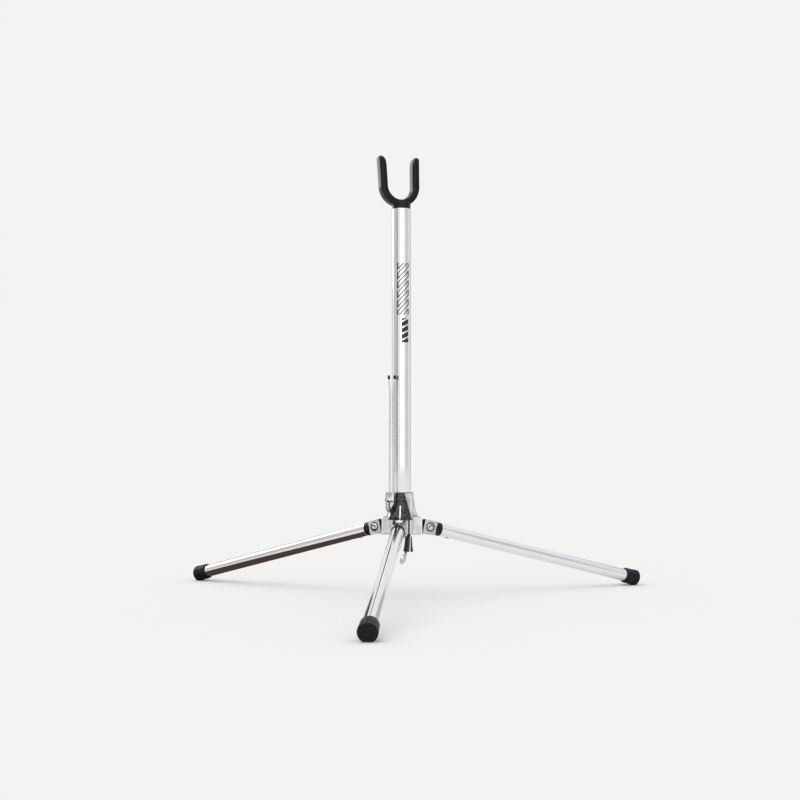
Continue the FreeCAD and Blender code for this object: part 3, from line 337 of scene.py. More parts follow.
def lip_highlight(finish):
    """Paints a highlight on the raised lip at each arm's end, brighter than the arm."""
    x, y, z = finish.axes()
    x, y = x - AXIS.x / MM, y - AXIS.y / MM
    arms = [abs(x * math.cos(t) + y * math.sin(t) - LIP_REACH) for t in ARM_TURNS]
    near = [finish.level(arm, LIP_HALF, LIP_HALF + 0.3, 1.0, 0.0) for arm in arms]
    cover(finish, finish.level(near[0] + near[1] + near[2], 0.0, 1.0), (0.93, 0.93, 0.94), -0.04)


def bell_reflection(finish):
    """Paints the bell dark but for one bright side, as a painted reflection."""
    x, y, z = finish.axes()
    # Painted reflection: near black everywhere but a narrow bright stripe.
    bright = finish.level(abs(y - BELL_BRIGHT_AT), 0.3, 0.8, 1.0, 0.0)
    cover(finish, 1 - bright, (0.045, 0.042, 0.042), 0.08)


BLOCK_METAL = casting("satin_block_casting", (0.93, 0.93, 0.95), (0.74, 0.75, 0.77), 0.18, 0.08)
TIP_METAL = casting("polished_spindle", (0.74, 0.73, 0.72), (0.42, 0.41, 0.41), 0.12, 0.06)
lip_highlight(HUB_METAL)
bell_reflection(BELL_METAL)
print("finishes", BLOCK_METAL.material.name, TIP_METAL.material.name)

# %% [markdown]
# The hood over the front arm is painted dark and mottled, a painted reflection, with one line down its
# middle left out so the crest stays bright. It widens toward its foot, so the mask compares the distance
# from the middle with a half width that grows downward.

# %% Painted reflection on the hood
HOOD_HALF_AT_TOP, HOOD_SPREAD, HOOD_TALL, RIDGE_BELOW = 3.9, 0.29, 27.3, 13.0


def hood_reflection(finish):
    x, y, z = finish.axes()
    across = abs(x - AXIS.x / MM)
    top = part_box("hub_casting")[1][2] / MM
    half = (top - z) * HOOD_SPREAD + HOOD_HALF_AT_TOP
    inside = finish.level(half - across, -0.4, 0.5)
    front = finish.level(y, AXIS.y / MM - 9.0, AXIS.y / MM - 7.6, 1.0, 0.0)
    above = finish.level(z, top - HOOD_TALL, top - HOOD_TALL + 0.5)
    ridge = finish.level(across, 0.35, 0.8) + (z > top - RIDGE_BELOW)
    mottle = finish.noise(0.9, 4, 0.7)
    dark_reflection = finish.blend(finish.level(mottle, 0.4, 0.65), SHADE_BLACK, (0.13, 0.13, 0.135))
    # Painted reflection: dark and mottled over the hood, but for the line down its middle.
    mask = inside * front * above * finish.level(ridge, 0.0, 1.0)
    cover(finish, mask, dark_reflection, 0.12)


hood_reflection(HUB_METAL)

# %% [markdown]
# Three kinds of black touch each other on this stand. The U is dipped in soft vinyl: glossy, with slow
# waves from the dip. The collars and the neck are moulded plastic: a fine even texture. The feet are
# rubber: dull, with a chalky bloom and scuffs where they meet the floor.

# %% Dipped vinyl, moulded plastic and foot rubber
def dipped_vinyl():
    f = Finish("dipped_soft_vinyl", Specular_IOR_Level=0.16, Coat_Weight=0.2, Coat_Roughness=0.06)
    waves = f.noise(0.22, 2, 0.4)
    dust = f.level(f.noise(2.8, 4, 0.7), 0.60, 0.78)
    f.link("Base Color", f.blend(dust * 0.4, (0.002, 0.002, 0.0025), (0.010, 0.010, 0.011)))
    f.link("Roughness", f.level(waves, 0.3, 0.7, 0.10, 0.17) + dust * 0.15)
    f.bump(waves, 0.25, 0.4)
    return f


def moulded_plastic():
    f = Finish("moulded_black_plastic", Specular_IOR_Level=0.22)
    grain = f.noise(6.0, 3, 0.6)
    rub = f.level(f.noise(0.5, 3, 0.6), 0.55, 0.75)
    f.link("Base Color", f.blend(rub * 0.5, (0.006, 0.006, 0.0065), (0.028, 0.028, 0.03)))
    f.link("Roughness", f.level(grain, 0.3, 0.7, 0.20, 0.34) - rub * 0.06)
    f.bump(grain, 0.015, 0.5)
    return f


def foot_rubber():
    f = Finish("dull_foot_rubber", Specular_IOR_Level=0.18)
    grain = f.noise(2.2, 4, 0.6)
    bloom = f.level(f.noise(0.25, 4, 0.6), 0.45, 0.75)
    scuff = f.level(f.noise(1.6, 3, 0.7, f.place((0.3, 1, 1)), 1.0), 0.64, 0.72)
    base = f.blend(bloom * 0.5, (0.006, 0.006, 0.007), (0.022, 0.022, 0.023))
    f.link("Base Color", f.blend(scuff * 0.4, base, (0.07, 0.07, 0.068)))
    f.link("Roughness", f.level(grain, 0.3, 0.7, 0.26, 0.44) + scuff * 0.1)
    f.bump(grain - scuff * 0.3, 0.12, 0.8)
    return f


VINYL, PLASTIC, RUBBER = dipped_vinyl(), moulded_plastic(), foot_rubber()
print("blacks", VINYL.material.name, PLASTIC.material.name, RUBBER.material.name)

# %% [markdown]
# The cord is a thin round braid. Crossed sine waves round and along it give the plaited relief, so no
# strand has to be modelled at this size.

# %% Braided cord
def braid():
    f = Finish("braided_black_cord", Sheen_Weight=0.25, Sheen_Roughness=0.5)
    x, y, z = f.axes()
    one = ((x + y) * 4.0 + z * 5.0).sine()
    two = ((x + y) * 4.0 - z * 5.0).sine()
    plait = one * two * 0.5 + 0.5
    fuzz = f.noise(9.0, 3, 0.7)
    f.link("Base Color", f.blend(plait, (0.010, 0.010, 0.011), (0.045, 0.045, 0.048)))
    f.link("Roughness", f.level(fuzz, 0.3, 0.7, 0.7, 0.9))
    f.bump(plait + fuzz * 0.3, 0.12, 0.8)
    return f


BRAID = braid()
print("cord finish", BRAID.material.name)

# %% [markdown]
# ## Building pieces
# Most pieces are turned: a profile swung round the piece's X axis. `turned` takes the profile as
# distance along and radius, and rounds its corners by adding a small arc, because a real edge always
# has one and it is what shows as a bright line. A point of radius 0 lies on the axis and closes that end.

# %% Profiles with rounded corners
def rounded(profile, radius, steps=5):
    """The profile with each inner corner cut to an arc of about that radius."""
    points = [Vector(p) for p in profile]
    made = [points[0]]
    for before, corner, after in zip(points, points[1:], points[2:]):
        into, away = before - corner, after - corner
        cut = min(radius, into.length * 0.45, away.length * 0.45)
        start, stop = corner + into.normalized() * cut, corner + away.normalized() * cut
        for i in range(steps + 1):
            share = i / steps
            made.append(start.lerp(corner, share).lerp(corner.lerp(stop, share), share))
    return made + [points[-1]]


def new_piece(name, mesh, place, finish, body, slot, *stands_for):
    """Puts a mesh in the scene, gives it its finish and ties it to its CAD body."""
    piece = bpy.data.objects.new(name, mesh)
    bpy.context.collection.objects.link(piece)
    piece.matrix_world = place
    mesh.materials.append(finish.material)
    bpy.context.view_layer.update()
    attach(piece, body)
    if stands_for:
        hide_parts(*stands_for)
    return piece


def swing(profile, around=96):
    """A mesh from (x, radius) points swung round the X axis."""
    mesh = bpy.data.meshes.new("turned")
    shape = bmesh.new()
    rings = []
    for along, radius in profile:
        if radius < 1e-7:
            rings.append([shape.verts.new((along, 0, 0))])
            continue
        turns = [2 * math.pi * i / around for i in range(around)]
        rings.append([shape.verts.new((along, radius * math.cos(t), radius * math.sin(t))) for t in turns])
    for first, second in zip(rings, rings[1:]):
        for i in range(around):
            j = (i + 1) % around
            if len(first) == 1:
                shape.faces.new((first[0], second[j], second[i]))
            elif len(second) == 1:
                shape.faces.new((first[i], first[j], second[0]))
            else:
                shape.faces.new((first[i], first[j], second[j], second[i]))
    bmesh.ops.recalc_face_normals(shape, faces=shape.faces)
    shape.to_mesh(mesh)
    shape.free()
    for face in mesh.polygons:
        face.use_smooth = True
    return mesh


def turned(name, profile, place, finish, body, slot, *stands_for, edge=0.3, around=96):
    """A turned piece. The profile is in millimetres."""
    points = [(p.x * MM, p.y * MM) for p in rounded(profile, edge)]
    return new_piece(name, swing(points, around), place, finish, body, slot, *stands_for)


# %% [markdown]
# A block with flat faces keeps its CAD shape, but its knife edges go. The copy's triangles are merged
# back to whole faces, so that the Bevel modifier sees only the true edges.

# %% Copies of CAD nodes with softened edges
def softened(name, node, width, finish, body, slot, place=Matrix.Identity(4)):
    mesh = nodes[node].data.copy()
    mesh.materials.clear()
    mesh.transform(place.inverted())
    shape = bmesh.new()
    shape.from_mesh(mesh)
    bmesh.ops.remove_doubles(shape, verts=shape.verts, dist=1e-6)
    bmesh.ops.dissolve_limit(
        shape, angle_limit=math.radians(0.5), verts=shape.verts, edges=shape.edges
    )
    shape.to_mesh(mesh)
    shape.free()
    for face in mesh.polygons:
        face.use_smooth = True
    piece = new_piece(name, mesh, place, finish, body, slot, node)
    bevel = piece.modifiers.new("soft edges", "BEVEL")
    bevel.width = width * MM
    bevel.segments = 3
    bevel.limit_method = "ANGLE"
    bevel.angle_limit = math.radians(28)
    bevel.harden_normals = True


# %% [markdown]
# ## Camera
# The camera stands about 1.2 m in front of the column, a little to the right of the front leg's line
# and low, so the feet are seen from above and the U slightly from below.

# %% Camera
EYE_TURN = math.radians(5.31)
EYE_DISTANCE = 1.2003
EYE_HEIGHT = 0.1465
EYE_TILT = math.radians(2.33)
EYE_PAN = math.radians(-0.07)
lens = bpy.data.cameras.new("camera")
lens.sensor_width = 36
lens.lens = 54.41
lens.clip_end = 60
camera = bpy.data.objects.new("camera", lens)
bpy.context.collection.objects.link(camera)
camera.location = (
    AXIS.x + EYE_DISTANCE * math.sin(EYE_TURN), AXIS.y - EYE_DISTANCE * math.cos(EYE_TURN), EYE_HEIGHT
)
camera.rotation_euler = (math.pi / 2 + EYE_TILT, 0, EYE_TURN - EYE_PAN)
bpy.context.scene.camera = camera
print("camera at", [round(c, 3) for c in camera.location])

# %% [markdown]
# ## The hanging cord
# One thin cord leaves the hub's hood and hangs with a bell-shaped weight and a spindle on it. Its curve
# has the route's own points as control points, and a smooth NURBS spline runs near them.

# %% Cord curve
HOOD_LOW = extent("tail_cord")[1].z - 4.6 * MM
CORD_ROUTE = [
    (8.7, -12.2, 4.6),
    (8.4, -12.2, -11.0),
    (7.8, -12.2, -27.0),
    (3.2, -11.8, -37.0),
]
CORD_DIAMETER = 1.8 * MM


def on_hub(x, y, z):
    return Vector((AXIS.x + x * MM, AXIS.y + y * MM, HOOD_LOW + z * MM))


route = [on_hub(*point) for point in CORD_ROUTE]
curve = bpy.data.curves.new("tail_cord_line", "CURVE")
curve.dimensions = "3D"
line = curve.splines.new("NURBS")
line.points.add(len(route) - 1)
for control, spot in zip(line.points, route):
    control.co = (*spot, 1)
line.order_u = 3
line.use_endpoint_u = True
line.resolution_u = 16
curve.bevel_depth = CORD_DIAMETER / 2
curve.bevel_resolution = 6
curve.use_fill_caps = True
curve.materials.append(BRAID.material)
cord = bpy.data.objects.new("hanging_cord", curve)
bpy.context.collection.objects.link(cord)
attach(cord, "frame")
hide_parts("tail_cord")
print("cord control points", len(route))

# %% [markdown]
# The pieces on the cord are turned shapes. Each one's own X axis runs down the cord, from the top
# of the piece, so its profile reads from top to bottom.

# %% Bell, grommet and spindle
def down_cord(first, second, reach):
    """Frame on the route between two of its points, X down the cord."""
    way = (route[second] - route[first]).normalized()
    start = route[first] + way * reach * MM
    side = way.cross(Vector((0, 1, 0))).normalized()
    turn = Matrix((way, side, way.cross(side))).transposed().to_4x4()
    return Matrix.Translation(start) @ turn


BELL_TOP = down_cord(1, 2, 4.6)
SPINDLE_TOP = down_cord(2, 3, 5.2)
bell = turned("bell_weight", [
    (0, 0.95), (0, 2.4), (0.5, 3.3), (1.6, 3.45), (6.3, 3.8), (10.5, 4.15), (13.2, 4.7), (15, 4.9),
    (15, 4.35), (13.2, 4.1), (10.5, 3.5), (6.3, 2.9), (3, 2.5), (3, 0.95),
], BELL_TOP, BELL_METAL, "frame", "polished_casting", "cord_bell", edge=0.35)
grommet = turned("bell_grommet", [
    (-1.8, 0.95), (-1.8, 1.4), (-1.0, 1.8), (-0.2, 1.9), (0, 1.85), (0, 0.95),
], BELL_TOP, PLASTIC, "frame", "black_plastic", "cord_grommet", edge=0.3)
spindle = turned("cord_spindle", [
    (0, 0.95), (0, 1.5), (0.6, 1.7), (3.9, 1.75), (4.6, 2.0), (7.0, 2.95), (8.2, 2.95), (10.8, 2.1),
    (12, 1.85), (12, 0),
], SPINDLE_TOP, TIP_METAL, "frame", "satin_casting", "cord_tip", edge=0.4)

# %% [markdown]
# ## Hub
# The casting's corners are all soft. A voxel remesh of the CAD shape followed by a little smoothing
# gives every edge, inside and outside, the same small radius, which a bevel can't do where many faces
# meet. Polished castings show that softness as wide bent reflections.

# %% Hub casting
HUB_VOXEL, HUB_PASSES = 0.42, 7


def remeshed(name, node, voxel, passes, finish, body, slot):
    mesh = nodes[node].data.copy()
    mesh.materials.clear()
    piece = new_piece(name, mesh, Matrix.Identity(4), finish, body, slot, node)
    cells = piece.modifiers.new("cells", "REMESH")
    cells.mode = "VOXEL"
    cells.voxel_size = voxel * MM
    cells.use_smooth_shade = True
    relax = piece.modifiers.new("relax", "SMOOTH")
    relax.factor = 0.5
    relax.iterations = passes
    return piece


hub = remeshed("hub", "hub_casting", HUB_VOXEL, HUB_PASSES, HUB_METAL, "frame", "polished_casting")
print(hub.name, "remeshed in cells of", HUB_VOXEL, "mm")

# %% [markdown]
# ## Column and yoke
# The column is one tube with slightly broken edges at its mouth. Its decoration is a plain pattern: a
# row of slanted outlined bars over a block of solid ones, printed dark, a little right of the front leg.

# %% Column tube with its printed bars
ROW_TURN, BLOCK_TURN = math.radians(16), math.radians(29)
ROW_TOP, ROW_LOW, BLOCK_TOP, BLOCK_LOW = 331.0, 279.5, 276.0, 252.0
ROW_HALF, ROW_STEP, ROW_SLANT, ROW_LINE = 5.8, 9.4, 1.1, 1.1
BLOCK_HALF, BLOCK_STEP, BLOCK_SLANT = 3.5, 6.1, 0.5


def band(value, low, high):
    """One where a value lies between two others."""
    return (value > low) * (value < high)


def around_column(x, y, turn):
    """Distance across the tube from a line that runs up it at that turn."""
    facing = (x * math.sin(turn) - y * math.cos(turn)) > 0.0
    return facing, x * math.cos(turn) + y * math.sin(turn)


def printed(finish):
    """Darkens the tube in a row of slanted outlined bars and a block of solid ones."""
    f = finish
    x, y, z = f.axes()
    facing, side = around_column(x, y, ROW_TURN)
    cell = ((z - side * ROW_SLANT) / ROW_STEP).wrap()
    bar = band(cell, 0.10, 0.80) * (abs(side) < ROW_HALF)
    hollow = band(cell, 0.24, 0.66) * (abs(side) < ROW_HALF - ROW_LINE)
    row = facing * band(z, ROW_LOW, ROW_TOP) * bar * (1 - hollow)
    facing, side = around_column(x, y, BLOCK_TURN)
    cell = ((z - side * BLOCK_SLANT) / BLOCK_STEP).wrap()
    solid = band(cell, 0.12, 0.86) * (abs(side) < BLOCK_HALF)
    block = facing * band(z, BLOCK_LOW, BLOCK_TOP) * solid
    ink = row + block
    metal = Sock(f, f.shader.inputs["Base Color"].links[0].from_socket)
    rough = Sock(f, f.shader.inputs["Roughness"].links[0].from_socket)
    f.link("Base Color", f.blend(ink, metal, (0.012, 0.012, 0.013)))
    f.link("Roughness", rough + ink * 0.35)
    f.link("Metallic", 1 - ink)


printed(COLUMN_METAL)
low, high = extent("column_tube", COLUMN)
SIDEWAYS = Matrix.Rotation(-math.pi / 2, 4, "Y")


def upright(name, profile, place, *rest, **more):
    """A turned piece on a vertical axis: its profile runs up from the floor.
    Its mesh is stored upright, so its own Z is up for the finishes."""
    piece = turned(name, profile, place @ SIDEWAYS, *rest, **more)
    piece.data.transform(SIDEWAYS)
    piece.matrix_world = place
    return piece


BORE, OUTSIDE = 8.3, high.x / MM
BASE, TOP = low.z / MM, high.z / MM
upright("column", [
    (BASE, BORE), (BASE, OUTSIDE), (TOP, OUTSIDE), (TOP, BORE), (BASE, BORE),
], COLUMN, COLUMN_METAL, "frame", "polished_tube", "column_tube", edge=0.35, around=128)

# %% [markdown]
# The U is a steel bar inside a thick soft skin. It is swept: a rounded-rectangle section runs down one
# prong, round the bowl and up the other, and shrinks to a dome at both tips.

# %% Yoke sleeve
YOKE_LOW, YOKE_HIGH = extent("yoke_sleeve", YOKE)
BORE_OF_U, THICK = 13.6, 7.4
HALF_DEEP = (YOKE_HIGH.y - YOKE_LOW.y) / 2 / MM
BOWL = BORE_OF_U + THICK / 2
BOWL_HEIGHT = YOKE_LOW.z / MM + THICK + BORE_OF_U
TIP_HEIGHT = YOKE_HIGH.z / MM
FLARE = 0.9


def swell(share):
    """Quarter of an ellipse: 0 at 0, 1 from 1 on."""
    return math.sqrt(1 - (1 - min(share, 1)) ** 2)


def prong_stations():
    """Down a prong: distance from the tip, offset outward and height."""
    tall = TIP_HEIGHT - BOWL_HEIGHT
    drops = [0.02, 0.12, 0.35, 0.7, 1.2, 1.8, 2.6, 3.6, 4.8, 6.2, 7.8, 9.6, 12, 16, 21, 26, tall]
    return [(d, FLARE * (1 - d / tall) ** 1.2, TIP_HEIGHT - d) for d in drops]


def yoke_stations():
    """Along the U from tip to tip: distance from a tip, spot and direction."""
    prong = prong_stations()
    made = [(d, Vector((-BOWL - out, 0, z)), Vector((0.03, 0, -1))) for d, out, z in prong]
    for i in range(1, 30):
        turn = math.pi * i / 30
        spot = Vector((-BOWL * math.cos(turn), 0, BOWL_HEIGHT - BOWL * math.sin(turn)))
        made.append((99, spot, Vector((math.sin(turn), 0, -math.cos(turn)))))
    made += [(d, Vector((BOWL + out, 0, z)), Vector((0.03, 0, 1))) for d, out, z in reversed(prong)]
    return made


def section(low, high, deep, count=44, squareness=3.6):
    """Points of a rounded rectangle between two offsets."""
    made = []
    for i in range(count):
        turn = 2 * math.pi * i / count
        c, s = math.cos(turn), math.sin(turn)
        across = math.copysign(abs(c) ** (2 / squareness), c) * (high - low) / 2
        along = math.copysign(abs(s) ** (2 / squareness), s) * deep
        made.append(((high + low) / 2 + across, along))
    return made


def sweep_yoke():
    """Each prong's tip is rounded far down inside, so the load slides in, and barely outside."""
    half, peak = THICK / 2, THICK * 0.2
    shape = bmesh.new()
    rings = []
    for d, spot, way in yoke_stations():
        side = Vector((way.z, 0, -way.x)).normalized()
        outer = peak + (half - peak) * swell(d / 2.6)
        inner = peak - (half + peak) * swell(d / 9.6)
        deep = HALF_DEEP * (0.15 + 0.85 * swell(d / 5.5))
        ring = []
        for a, b in section(inner, outer, deep):
            point = spot + side * a
            ring.append(shape.verts.new((point.x * MM, b * MM, point.z * MM)))
        rings.append(ring)
    count = len(rings[0])
    for one, two in zip(rings, rings[1:]):
        for i in range(count):
            j = (i + 1) % count
            shape.faces.new((one[i], one[j], two[j], two[i]))
    shape.faces.new(rings[0])
    shape.faces.new(list(reversed(rings[-1])))
    bmesh.ops.recalc_face_normals(shape, faces=shape.faces)
    mesh = bpy.data.meshes.new("yoke")
    shape.to_mesh(mesh)
    shape.free()
    for face in mesh.polygons:
        face.use_smooth = True
    return mesh


yoke = new_piece("yoke", sweep_yoke(), YOKE, VINYL, "frame", "soft_black", "yoke_sleeve")
smooth = yoke.modifiers.new("smooth", "SUBSURF")
smooth.levels = smooth.render_levels = 1
print("yoke faces", len(yoke.data.polygons))

# %% [markdown]
# Under the U a moulded plug fills the tube's mouth, and its neck carries the U. It is turned, like the
# column, since it is round on the real stand too.

# %% Yoke neck and plug
PLUG_LOW, PLUG_HIGH = extent("yoke_plug", TURNED)
NECK = PLUG_HIGH.z / MM
upright("yoke_neck", [
    (PLUG_LOW.z / MM, 3.1), (PLUG_LOW.z / MM, 8.25), (TOP, 8.25), (TOP, 8.9), (TOP + 0.8, 9.0),
    (NECK - 0.6, 9.25), (NECK, 8.7), (NECK, 3.1), (PLUG_LOW.z / MM, 3.1),
], COLUMN, PLASTIC, "frame", "black_plastic", "yoke_plug", edge=0.5)

# %% [markdown]
# ## Legs
# The three legs are the same pieces in three frames. The foot cap gets a raised rim and a dished end,
# and its lowest edge is worn flat where it stands on the floor.

# %% Leg pieces
LEG_BORE = 5.5


def flatten_under_floor(piece):
    """Presses what is below the floor up to it, as wear does."""
    back = piece.matrix_world.inverted()
    for vertex in piece.data.vertices:
        spot = piece.matrix_world @ vertex.co
        if spot.z < 0:
            spot.z = 0
            vertex.co = back @ spot


def leg(side):
    place, body = LEG[side], "leg_" + side
    tube_low, tube_high = extent("leg_tube_" + side, place)
    cap_low, cap_high = extent("foot_cap_" + side, place)
    ring_low, ring_high = extent("collar_" + side, place)
    start, end = tube_low.x / MM, tube_high.x / MM
    radius, bore = tube_high.y / MM, LEG_BORE
    turned("leg_tube_shell_" + side, [
        (start, bore), (start, radius), (end, radius), (end, bore), (start, bore),
    ], place, LEG_METAL, body, "polished_tube", "leg_tube_" + side, edge=0.35, around=112)
    near, far, wide = ring_low.x / MM, ring_high.x / MM, ring_high.y / MM
    turned("collar_ring_" + side, [
        (near, bore), (near, wide - 0.1), (near + 0.7, wide), (far - 2.2, wide), (far - 1.9, wide - 0.35),
        (far - 1.5, wide - 0.35), (far - 1.2, wide - 0.05), (far, wide - 0.3), (far, bore), (near, bore),
    ], place, PLASTIC, body, "black_plastic", "collar_" + side, edge=0.25)
    mouth, tip, fat = cap_low.x / MM, cap_high.x / MM, cap_high.y / MM
    cap = turned("foot_" + side, [
        (mouth, radius), (mouth, fat - 0.8), (mouth + 0.5, fat - 0.35), (mouth + 9.0, fat - 0.2),
        (mouth + 9.4, fat - 0.6), (mouth + 10.2, fat - 0.6), (mouth + 10.6, fat), (tip - 0.9, fat),
        (tip, fat - 0.8), (tip, fat - 1.6), (tip - 0.5, fat - 2.0), (tip - 0.5, 0.0),
    ], place, RUBBER, body, "black_rubber", "foot_cap_" + side, edge=0.3, around=112)
    flatten_under_floor(cap)
    softened("knuckle_block_" + side, "knuckle_" + side, 0.45, KNUCKLE_METAL, body, "satin_casting", place)


for side in SIDES:
    leg(side)
print("legs built")

# %% [markdown]
# The fold pins are rivets. Each head is a low dome with a shallow dimple from the riveting tool, and
# the dimple's edge is what glints.

# %% Fold pins
PIN_RADIUS, HEAD_TALL = 2.0, 1.3


def fold_pin(side):
    place = LEG[side] @ Matrix.Rotation(math.pi / 2, 4, "Z")
    high = extent("fold_pin_" + side, place)[1]
    half, head = high.x / MM, high.y / MM
    seat = half - HEAD_TALL
    one_end = [
        (half - 0.35, 0.0), (half - 0.35, 1.1), (half, 1.7), (half - 0.25, 2.5), (seat + 0.35, head),
        (seat, head),
    ]
    profile = [(-x, r) for x, r in one_end]
    profile += [(-seat, PIN_RADIUS), (seat, PIN_RADIUS)] + list(reversed(one_end))
    turned("fold_rivet_" + side, profile, place, RIVET_STEEL, "leg_" + side, "steel",
           "fold_pin_" + side, edge=0.3)


for side in SIDES:
    fold_pin(side)
print("fold pins", len(SIDES))

# %% [markdown]
# ## Wire fork
# Two spring wires stand in a small block. They come together at a waist and open again at soft tips.
# A real wire has no sharp kink, so the waist is a bend of its own.

# %% Fork wires, tips and block
WAIST_UP, TIP_UP, TIP_HALF, WAIST_HALF = 103.5, 120.3, 3.1, 1.85
WIRE_RADIUS = 0.75


def wire_piece(side, sign):
    low, high = extent("fork_wire_" + side, FORK)
    base, top = low.z / MM, high.z / MM
    stops = [
        (2.2, base), (2.1, base + 40), (1.85, WAIST_UP - 14), (1.8, WAIST_UP - 2),
        (1.95, WAIST_UP + 2), (3.1, top - 0.2),
    ]
    spline_data = bpy.data.curves.new("fork_wire_line", "CURVE")
    spline_data.dimensions = "3D"
    spline = spline_data.splines.new("NURBS")
    spline.points.add(len(stops) - 1)
    for control, (x, z) in zip(spline.points, stops):
        control.co = (sign * x * MM, 0, z * MM, 1)
    spline.order_u = 3
    spline.use_endpoint_u = True
    spline.resolution_u = 10
    spline_data.bevel_depth = WIRE_RADIUS * MM
    spline_data.bevel_resolution = 5
    spline_data.use_fill_caps = True
    holder = bpy.data.objects.new("holder", spline_data)
    mesh = bpy.data.meshes.new_from_object(holder)
    bpy.data.objects.remove(holder)
    mesh.materials.clear()
    new_piece("fork_prong_" + side, mesh, FORK, WIRE_STEEL, "wire_fork", "steel", "fork_wire_" + side)


def tip_piece(side, sign):
    lean = math.atan2(TIP_HALF - WAIST_HALF, TIP_UP - WAIST_UP)
    spot = Vector((sign * TIP_HALF * MM, 0, (TIP_UP + 1.2) * MM))
    place = FORK @ Matrix.Translation(spot) @ Matrix.Rotation(sign * lean, 4, "Y")
    turned("fork_bead_" + side, [
        (-4, 0.8), (-4, 1.05), (-3.6, 1.2), (-1.0, 1.2), (-0.3, 0.85), (0, 0.3), (0, 0),
    ], place @ SIDEWAYS, VINYL, "wire_fork", "soft_black", "fork_tip_" + side, edge=0.4, around=32)


for side, sign in (("left", -1), ("right", 1)):
    wire_piece(side, sign)
    tip_piece(side, sign)
softened("fork_root", "fork_block", 0.35, BLOCK_METAL, "wire_fork", "satin_casting")
print("wire fork built, waist at", WAIST_UP, "mm")

# %% [markdown]
# ## Parts that keep their CAD shape
# Screws, nuts, links and springs are small or hidden, and their CAD shape is right. They only need
# their real finish.

# %% Finishes of the carried-over parts
KEPT = {
    "column_set_screw": DARK_STEEL, "yoke_core": ZINC_STEEL, "yoke_washer": ZINC_STEEL,
    "yoke_nut": ZINC_STEEL, "fork_pivot_screw": BRIGHT_STEEL,
}
for side in SIDES:
    KEPT["draw_link_" + side] = BRIGHT_STEEL
    KEPT["draw_nut_" + side] = ZINC_STEEL
    KEPT["return_spring_" + side] = SPRING_STEEL
    KEPT["tube_rivet_" + side] = BRIGHT_STEEL
for node, finish in KEPT.items():
    mesh = nodes[node].data
    mesh.materials.clear()
    mesh.materials.append(finish.material)
print("kept from CAD", len(KEPT))

# %% [markdown]
# ## Studio
# The floor and the world share one pale tone, so the stand floats in white as in a catalogue. Polished
# metal shows nothing but its surroundings, so grey and dark cards stand out of the camera's sight.
# The thin dark lines down the tubes are their reflections.

# %% Floor and light
PALE = (0.896, 0.896, 0.880)
FLOOR_TONE = 0.80
world = bpy.data.worlds.new("studio")
world.use_nodes = True
world.node_tree.nodes["Background"].inputs["Color"].default_value = (*PALE, 1)
bpy.context.scene.world = world
bpy.context.scene.view_settings.view_transform = "Standard"
sun = bpy.data.lights.new("soft_sky_light", "SUN")
SUN_TILT, SUN_TURN = math.radians(35), math.radians(-35)
sun.energy = PALE[0] * math.pi * (1 / FLOOR_TONE - 1) / math.cos(SUN_TILT)
sun.angle = math.radians(70)
sun_holder = bpy.data.objects.new("soft_sky_light", sun)
bpy.context.collection.objects.link(sun_holder)
sun_holder.rotation_euler = (SUN_TILT, 0, SUN_TURN)


def staged(name, corners, faces, material):
    mesh = bpy.data.meshes.new(name)
    mesh.from_pydata([Vector(c) for c in corners], [], faces)
    made = bpy.data.objects.new(name, mesh)
    bpy.context.collection.objects.link(made)
    mesh.materials.append(material)
    return made


floor = Finish("pale_floor", Specular_IOR_Level=0.0)
speck = floor.noise(0.004, 2, 0.5)
low_tone, high_tone = FLOOR_TONE - 0.003, FLOOR_TONE + 0.003
floor.link("Base Color", floor.blend(speck, [low_tone] * 3, [high_tone] * 3))
floor.link("Roughness", floor.level(speck, 0.0, 1.0, 0.9, 1.0))
FLOOR_CORNERS = [(-60, -60, 0), (60, -60, 0), (60, 60, 0), (-60, 60, 0)]
staged("floor", FLOOR_CORNERS, [(0, 1, 2, 3)], floor.material)
print("sun strength", round(sun.energy, 3))

# %% [markdown]
# The cards stand in an arc round the column. Turns are measured about the column from the camera's
# side, positive to the right. A bright card behind the camera gives the broad white stripe, grey ones
# shade the sides, and narrow dark ones draw thin lines. A higher one lights only the U's left faces.

# %% Cards seen only in reflections
CARD_REACH = 1.5


def card_finish(name, tone, tint=(0.985, 0.995, 1.0)):
    f = Finish(name, Specular_IOR_Level=0.0, Base_Color=(0, 0, 0, 1), Roughness=1.0)
    f.shader.inputs["Emission Color"].default_value = (*[tone * c for c in tint], 1)
    f.shader.inputs["Emission Strength"].default_value = 1.0
    return f.material


def reflected_only(made):
    made.visible_camera = made.visible_diffuse = made.visible_shadow = False


def arc_card(name, start, stop, tone, low, high):
    corners, faces = [], []
    steps = max(2, int(abs(stop - start) / 6))
    for i in range(steps + 1):
        turn = EYE_TURN + math.radians(start + (stop - start) * i / steps) - math.pi / 2
        x, y = AXIS.x + CARD_REACH * math.cos(turn), AXIS.y + CARD_REACH * math.sin(turn)
        corners += [(x, y, low), (x, y, high)]
        if i:
            faces.append((2 * i - 2, 2 * i - 1, 2 * i + 1, 2 * i))
    reflected_only(staged(name, corners, faces, card_finish(name, tone)))


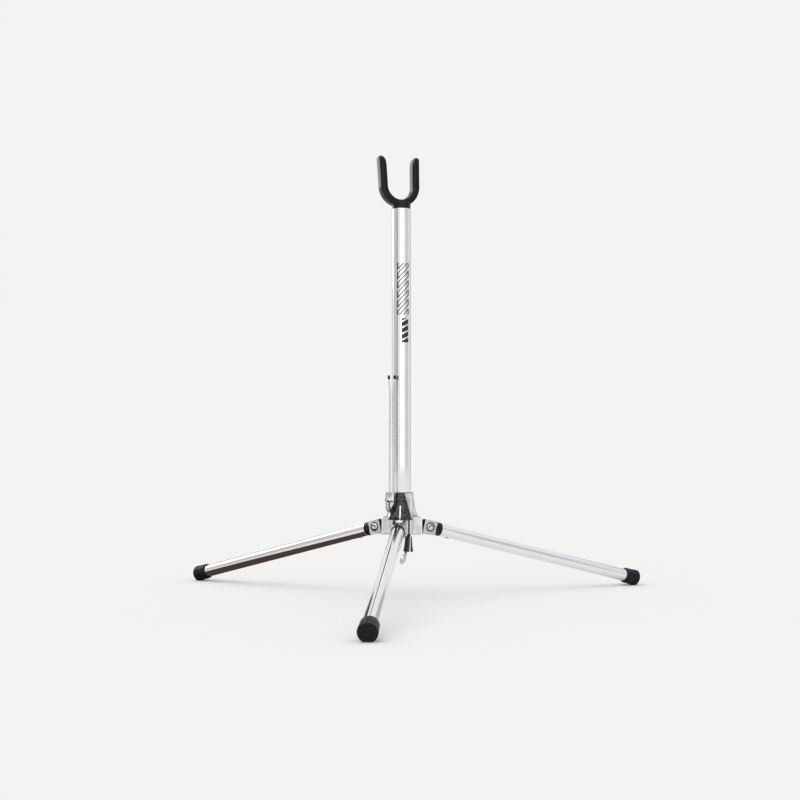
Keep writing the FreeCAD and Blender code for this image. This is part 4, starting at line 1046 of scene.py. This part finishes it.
CARD_TOP, LEFT_TOP, YOKE_CARD_TOP = 0.95, 0.54, 1.5
for name, start, stop, tone, high in [
    ("left_edge", -158, -143, 0.08, CARD_TOP), ("left_pale", -142, -110, 1.05, LEFT_TOP),
    ("left_grey", -110, -62, 0.60, CARD_TOP), ("left_line", -60, -47, 0.22, CARD_TOP),
    ("front_bright", -16, 33, 1.4, CARD_TOP), ("right_grey", 52, 76, 0.60, CARD_TOP),
    ("right_pale", 76, 120, 0.80, CARD_TOP), ("right_edge", 128, 148, 0.5, CARD_TOP),
]:
    arc_card(name, start, stop, tone, 0.0, high)
arc_card("yoke_side", -142, -110, 3.0, LEFT_TOP + 0.005, YOKE_CARD_TOP)
print("cards stand", CARD_REACH, "m from the column")

# %% [markdown]
# Two legs need their own dark card. The front leg looks up and back, so an upright far behind the stand
# draws the thin line along it. The left leg's underside sees the floor, so a dark brown strip lies there.

# %% Dark upright and dark strip
UPRIGHT_LEFT, UPRIGHT_RIGHT, UPRIGHT_BACK, UPRIGHT_LOW, UPRIGHT_TOP = -0.35, -0.21, 1.5, 0.35, 2.2
STRIP_START, STRIP_END, STRIP_LIFT = 0.01, 0.30, 0.0004
BROWN_TINT = (1.3, 1.0, 0.8)
upright_card = [
    (UPRIGHT_LEFT, UPRIGHT_BACK, UPRIGHT_LOW), (UPRIGHT_RIGHT, UPRIGHT_BACK, UPRIGHT_LOW),
    (UPRIGHT_RIGHT, UPRIGHT_BACK, UPRIGHT_TOP), (UPRIGHT_LEFT, UPRIGHT_BACK, UPRIGHT_TOP),
]
reflected_only(staged("card_behind", upright_card, [(0, 1, 2, 3)], card_finish("card_behind", 0.02)))


def strip_under_leg(side, ahead, behind, tone):
    """A dark strip on the floor under one leg."""
    place = LEG[side]
    near, far = place @ Vector((STRIP_START, 0, 0)), place @ Vector((STRIP_END, 0, 0))
    corners = []
    for spot, reach in ((near, -ahead), (far, -ahead), (far, behind), (near, behind)):
        corners.append((spot.x, spot.y + reach, STRIP_LIFT))
    finish = card_finish("strip_" + side, tone, BROWN_TINT)
    reflected_only(staged("strip_" + side, corners, [(0, 1, 2, 3)], finish))


strip_under_leg("left", 0.10, 0.12, 0.05)
print("studio cards behind and under the stand")
